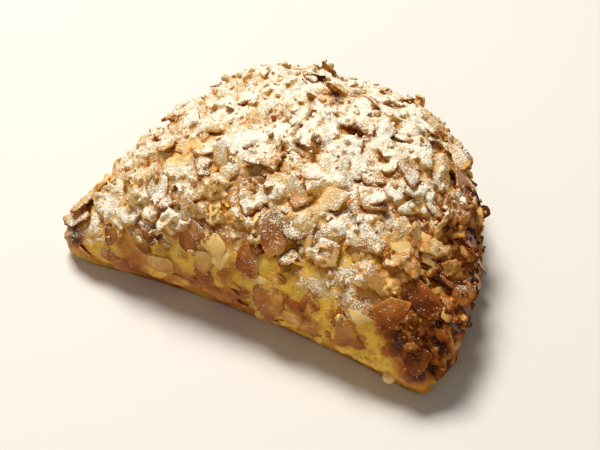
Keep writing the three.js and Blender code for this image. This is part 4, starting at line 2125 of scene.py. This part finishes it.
@dataclass
class SugarGrains:
    """Loose grains and small clumps of icing sugar; sizes in millimetres."""

    pile: Pile
    rng: Chance
    grains: int = 23000
    size: Span = (0.06, 0.2)
    stray: float = 0.04
    even: float = 0.35
    clumping: float = 0.55
    floor_fade: Span = (2.0, 6.0)
    wobble: Span = (0.7, 1.25)
    lean: float = 0.7
    stand: float = 0.4
    uphill: Spot = (0.37, 0.53, 0.76)
    cell_bits: int = 8
    cell_start: float = 128.0

    def blank(self) -> tuple[Array, Array]:
        """A grain with eight faces.

        Returns:
            Its points, of radius 1, and its triangles.
        """
        points = np.array([[1, 0, 0], [-1, 0, 0], [0, 1, 0], [0, -1, 0], [0, 0, 1], [0, 0, -1]], float)
        faces = [(0, 2, 4), (2, 1, 4), (1, 3, 4), (3, 0, 4), (2, 0, 5), (1, 2, 5), (3, 1, 5), (0, 3, 5)]
        return points, np.array(faces)

    def in_order(self, corners: Array, held: Array) -> tuple[Array, Array]:
        """Sorts triangles by their place, so that the grains fall alike however the meshes are ordered.

        Args:
            corners: Corners of the triangles.
            held: The sugar that each holds.

        Returns:
            Both in an order that keeps neighbours together, each triangle from its lowest corner on.
        """
        lowest = np.argmin(corners @ np.array(self.uphill), axis=1)
        turned = (lowest[:, None] + np.arange(3)) % 3
        corners = np.take_along_axis(corners, turned[:, :, None], axis=1)
        middle = corners.mean(axis=1) / MM
        cells = np.floor(middle + self.cell_start).astype(np.int64)
        code = np.zeros(len(cells), np.int64)
        for bit in range(self.cell_bits):
            for axis in range(3):
                code |= ((cells[:, axis] >> bit) & 1) << (3 * bit + axis)
        order = np.lexsort((*np.round(middle, 2).T, code))
        return corners[order], held[order]

    def build(self) -> Piece:
        """Drops the grains where sugar is held, with a few wherever a face looks up.

        Returns:
            The grains as one piece.
        """
        corners, held = [], []
        for piece in self.pile.pieces:
            triangles = triangles_of(piece.data)
            corners.append(points_of(piece.data)[triangles])
            held.append(painted_values(piece.data, "sugar")[triangles].mean(axis=1))
        corners, held = self.in_order(np.concatenate(corners), np.concatenate(held))
        cross = np.cross(corners[:, 1] - corners[:, 0], corners[:, 2] - corners[:, 0])
        area = np.linalg.norm(cross, axis=1)
        normals = cross / np.maximum(area, 1e-15)[:, None]
        middle = corners.mean(axis=1) / MM
        patch = np.sin(middle[:, 0] / 2.9 + 1.0) * np.sin(middle[:, 1] / 3.3)
        patch += np.sin(middle[:, 2] / 2.1 + 0.4)
        strewn = self.stray * smooth(normals[:, 2], -0.1, 0.5)
        weight = area * (strewn + held * (self.even + self.clumping * smooth(patch, 0, 1.2)))
        weight *= smooth(middle[:, 2], *self.floor_fade)
        picks = self.rng.choice(len(weight), self.grains, p=weight / weight.sum())
        mix = self.rng.dirichlet((1.0, 1.0, 1.0), self.grains)
        seats = (corners[picks] * mix[:, :, None]).sum(axis=1)
        sizes = self.rng.uniform(*self.size, self.grains)
        points, faces = self.blank()
        batch = MeshBatch()
        for seat, normal, size in zip(seats, normals[picks], sizes):
            shape = points * self.rng.uniform(*self.wobble, (6, 1))
            turn = turn_to(normal) @ spun(self.rng.uniform(0.0, 6.3))
            turn = turn @ leaned(self.rng.uniform(-self.lean, self.lean))
            batch.add(shape @ turn.T * size * MM + seat + normal * self.stand * size * MM, faces)
        return batch.to_object("sugar_grains")


@dataclass
class FillingDrop:
    """The drop of baked filling under the fold; sizes in millimetres."""

    form: PastryForm
    along: float = 49.0
    around: float = 197.0
    radius: float = 2.6
    neck: float = 0.25
    stretch: float = 0.12
    floor_gap: float = 1.2

    def build(self) -> Piece:
        """Shapes a ball into a hanging drop.

        Returns:
            The drop.
        """
        place = self.form.spot(self.along, self.around)
        place[2] = max(place[2], (self.radius + self.floor_gap) * MM)
        deselect_all()
        bpy.ops.mesh.primitive_uv_sphere_add(segments=28, ring_count=18, radius=self.radius * MM)
        drop = bpy.context.object
        drop.name = drop.data.name = "filling_drop"
        points = points_of(drop.data)
        fall = smooth(-points[:, 2] / (self.radius * MM), -0.2, 1.0)
        points[:, :2] *= (1.0 - self.neck * (1.0 - fall))[:, None]
        points[:, 2] *= 1.0 + self.stretch * fall
        move_points(drop.data, points + place)
        bpy.ops.object.shade_smooth()
        return drop


@dataclass(frozen=True)
class Lamp:
    """A soft square lamp that faces the pastry; metres and watts."""

    name: str
    place: Spot
    size: float
    power: float
    colour: Spot

    def hang(self) -> None:
        """Hangs the lamp in the scene."""
        light = bpy.data.lights.new(self.name, "AREA")
        light.size = self.size
        light.energy = self.power
        light.color = self.colour
        lamp = bpy.data.objects.new(self.name, light)
        lamp.location = self.place
        lamp.rotation_euler = Vector(self.place).to_track_quat("Z", "Y").to_euler()
        bpy.context.scene.collection.objects.link(lamp)


@dataclass(frozen=True)
class Studio:
    """Plain floor, soft light and the camera at the photograph's angle; metres and degrees."""

    target: Spot = (-0.0012, -0.0061, 0.0105)
    azimuth: float = 29.3
    elevation: float = 47.9
    distance: float = 0.42
    roll: float = -2.0
    lens: float = 78.4
    sensor: float = 36.0
    near: float = 0.01
    floor_size: float = 6.0
    air: Colour = (1.0, 0.95, 0.87, 1.0)
    air_strength: float = 0.17
    lamps: tuple[Lamp, ...] = (
        Lamp("key", (-0.3, 0.2, 0.92), 0.34, 11.6, (1.0, 0.95, 0.87)),
        Lamp("fill", (0.1, -0.9, 0.55), 0.8, 1.0, (1.0, 0.94, 0.83)),
    )

    def floor(self, material: Material) -> None:
        """Lays the floor.

        Args:
            material: Its finish.
        """
        deselect_all()
        bpy.ops.mesh.primitive_plane_add(size=self.floor_size, location=(0.0, 0.0, -0.2 * MM))
        floor = bpy.context.object
        floor.name = floor.data.name = "floor"
        bpy.ops.object.transform_apply(location=True, rotation=True, scale=True)
        floor.data.materials.append(material)

    def light(self) -> None:
        """Sets the lamps and the soft light all round."""
        for lamp in self.lamps:
            lamp.hang()
        world = bpy.data.worlds.new("studio_air")
        world.use_nodes = True
        background = world.node_tree.nodes["Background"]
        background.inputs["Color"].default_value = self.air
        background.inputs["Strength"].default_value = self.air_strength
        bpy.context.scene.world = world
        bpy.context.scene.view_settings.view_transform = "Standard"

    def camera(self) -> None:
        """Sets the camera."""
        turn, rise, roll = (math.radians(value) for value in (self.azimuth, self.elevation, self.roll))
        back = Vector((math.sin(turn) * math.cos(rise), -math.cos(turn) * math.cos(rise), math.sin(rise)))
        right = Vector((0.0, 0.0, 1.0)).cross(back).normalized()
        upward = back.cross(right)
        level = right * math.cos(roll) + upward * math.sin(roll)
        high = upward * math.cos(roll) - right * math.sin(roll)
        lens = bpy.data.cameras.new("camera")
        lens.lens = self.lens
        lens.sensor_width = self.sensor
        lens.clip_start = self.near
        camera = bpy.data.objects.new("camera", lens)
        turned = Matrix((level, high, back)).transposed().to_4x4()
        camera.matrix_world = Matrix.Translation(Vector(self.target) + back * self.distance) @ turned
        bpy.context.scene.collection.objects.link(camera)
        bpy.context.scene.camera = camera


def settle(piece: Piece, material: Material, *nodes: str) -> None:
    """Dresses a piece, fixes it to the pastry's body and reports it.

    Args:
        piece: The piece.
        material: Its finish.
        *nodes: Solids that it stands for.
    """
    piece.data.materials.clear()
    piece.data.materials.append(material)
    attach(piece, BODY)
    if nodes:
        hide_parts(*nodes)
    LOG.info("%s: %d triangles", piece.name, len(triangles_of(piece.data)))


def main() -> None:
    """Builds the pastry piece by piece, dresses it and sets the studio."""
    logging.basicConfig(level=logging.INFO, format="%(name)s %(message)s")
    form = PastryForm()
    layout = AlmondLayout(form)
    dough = Dough(form).build()
    peels = DoughPeels(form, Seed.PEELS.chance()).build(Pile([dough]))
    flakes, sunk_flakes = AlmondCrust(layout, Seed.FLAKES.chance()).build()
    crumble = Crumble(layout).build()
    lower = [dough, peels, flakes, sunk_flakes, crumble]
    chips, sunk_chips = AlmondChips(layout, Seed.CHIPS.chance()).build(Pile(lower))
    crumbs, sunk_crumbs = Crumbs(layout, Seed.CRUMBS.chance()).build(Pile([*lower, chips, sunk_chips]))
    crust = BakedCrust(form).build([crumble, sunk_flakes, sunk_chips, sunk_crumbs])
    pile = Pile([dough, peels, flakes, crust, chips, crumbs])
    SugarSieve(pile, layout, crust).dust()
    grains = SugarGrains(pile, Seed.GRAINS.chance()).build()
    drop = FillingDrop(form).build()
    effects = Effects(SugarDusting(), BakeMottle(), ToastScale())
    baked = DoughFinish().make(effects)
    almond = AlmondFinish().make(effects)
    crumb = CrumbFinish().make(effects)
    settle(dough, baked, NODE)
    settle(peels, baked)
    settle(flakes, almond, NODE)
    settle(chips, almond)
    settle(crust, crumb, NODE)
    settle(crumbs, crumb)
    settle(grains, SugarFinish().make(effects))
    settle(drop, DropFinish().make(effects), NODE)
    studio = Studio()
    studio.floor(FloorFinish().make(effects))
    studio.light()
    studio.camera()


if __name__ == "__main__":
    main()
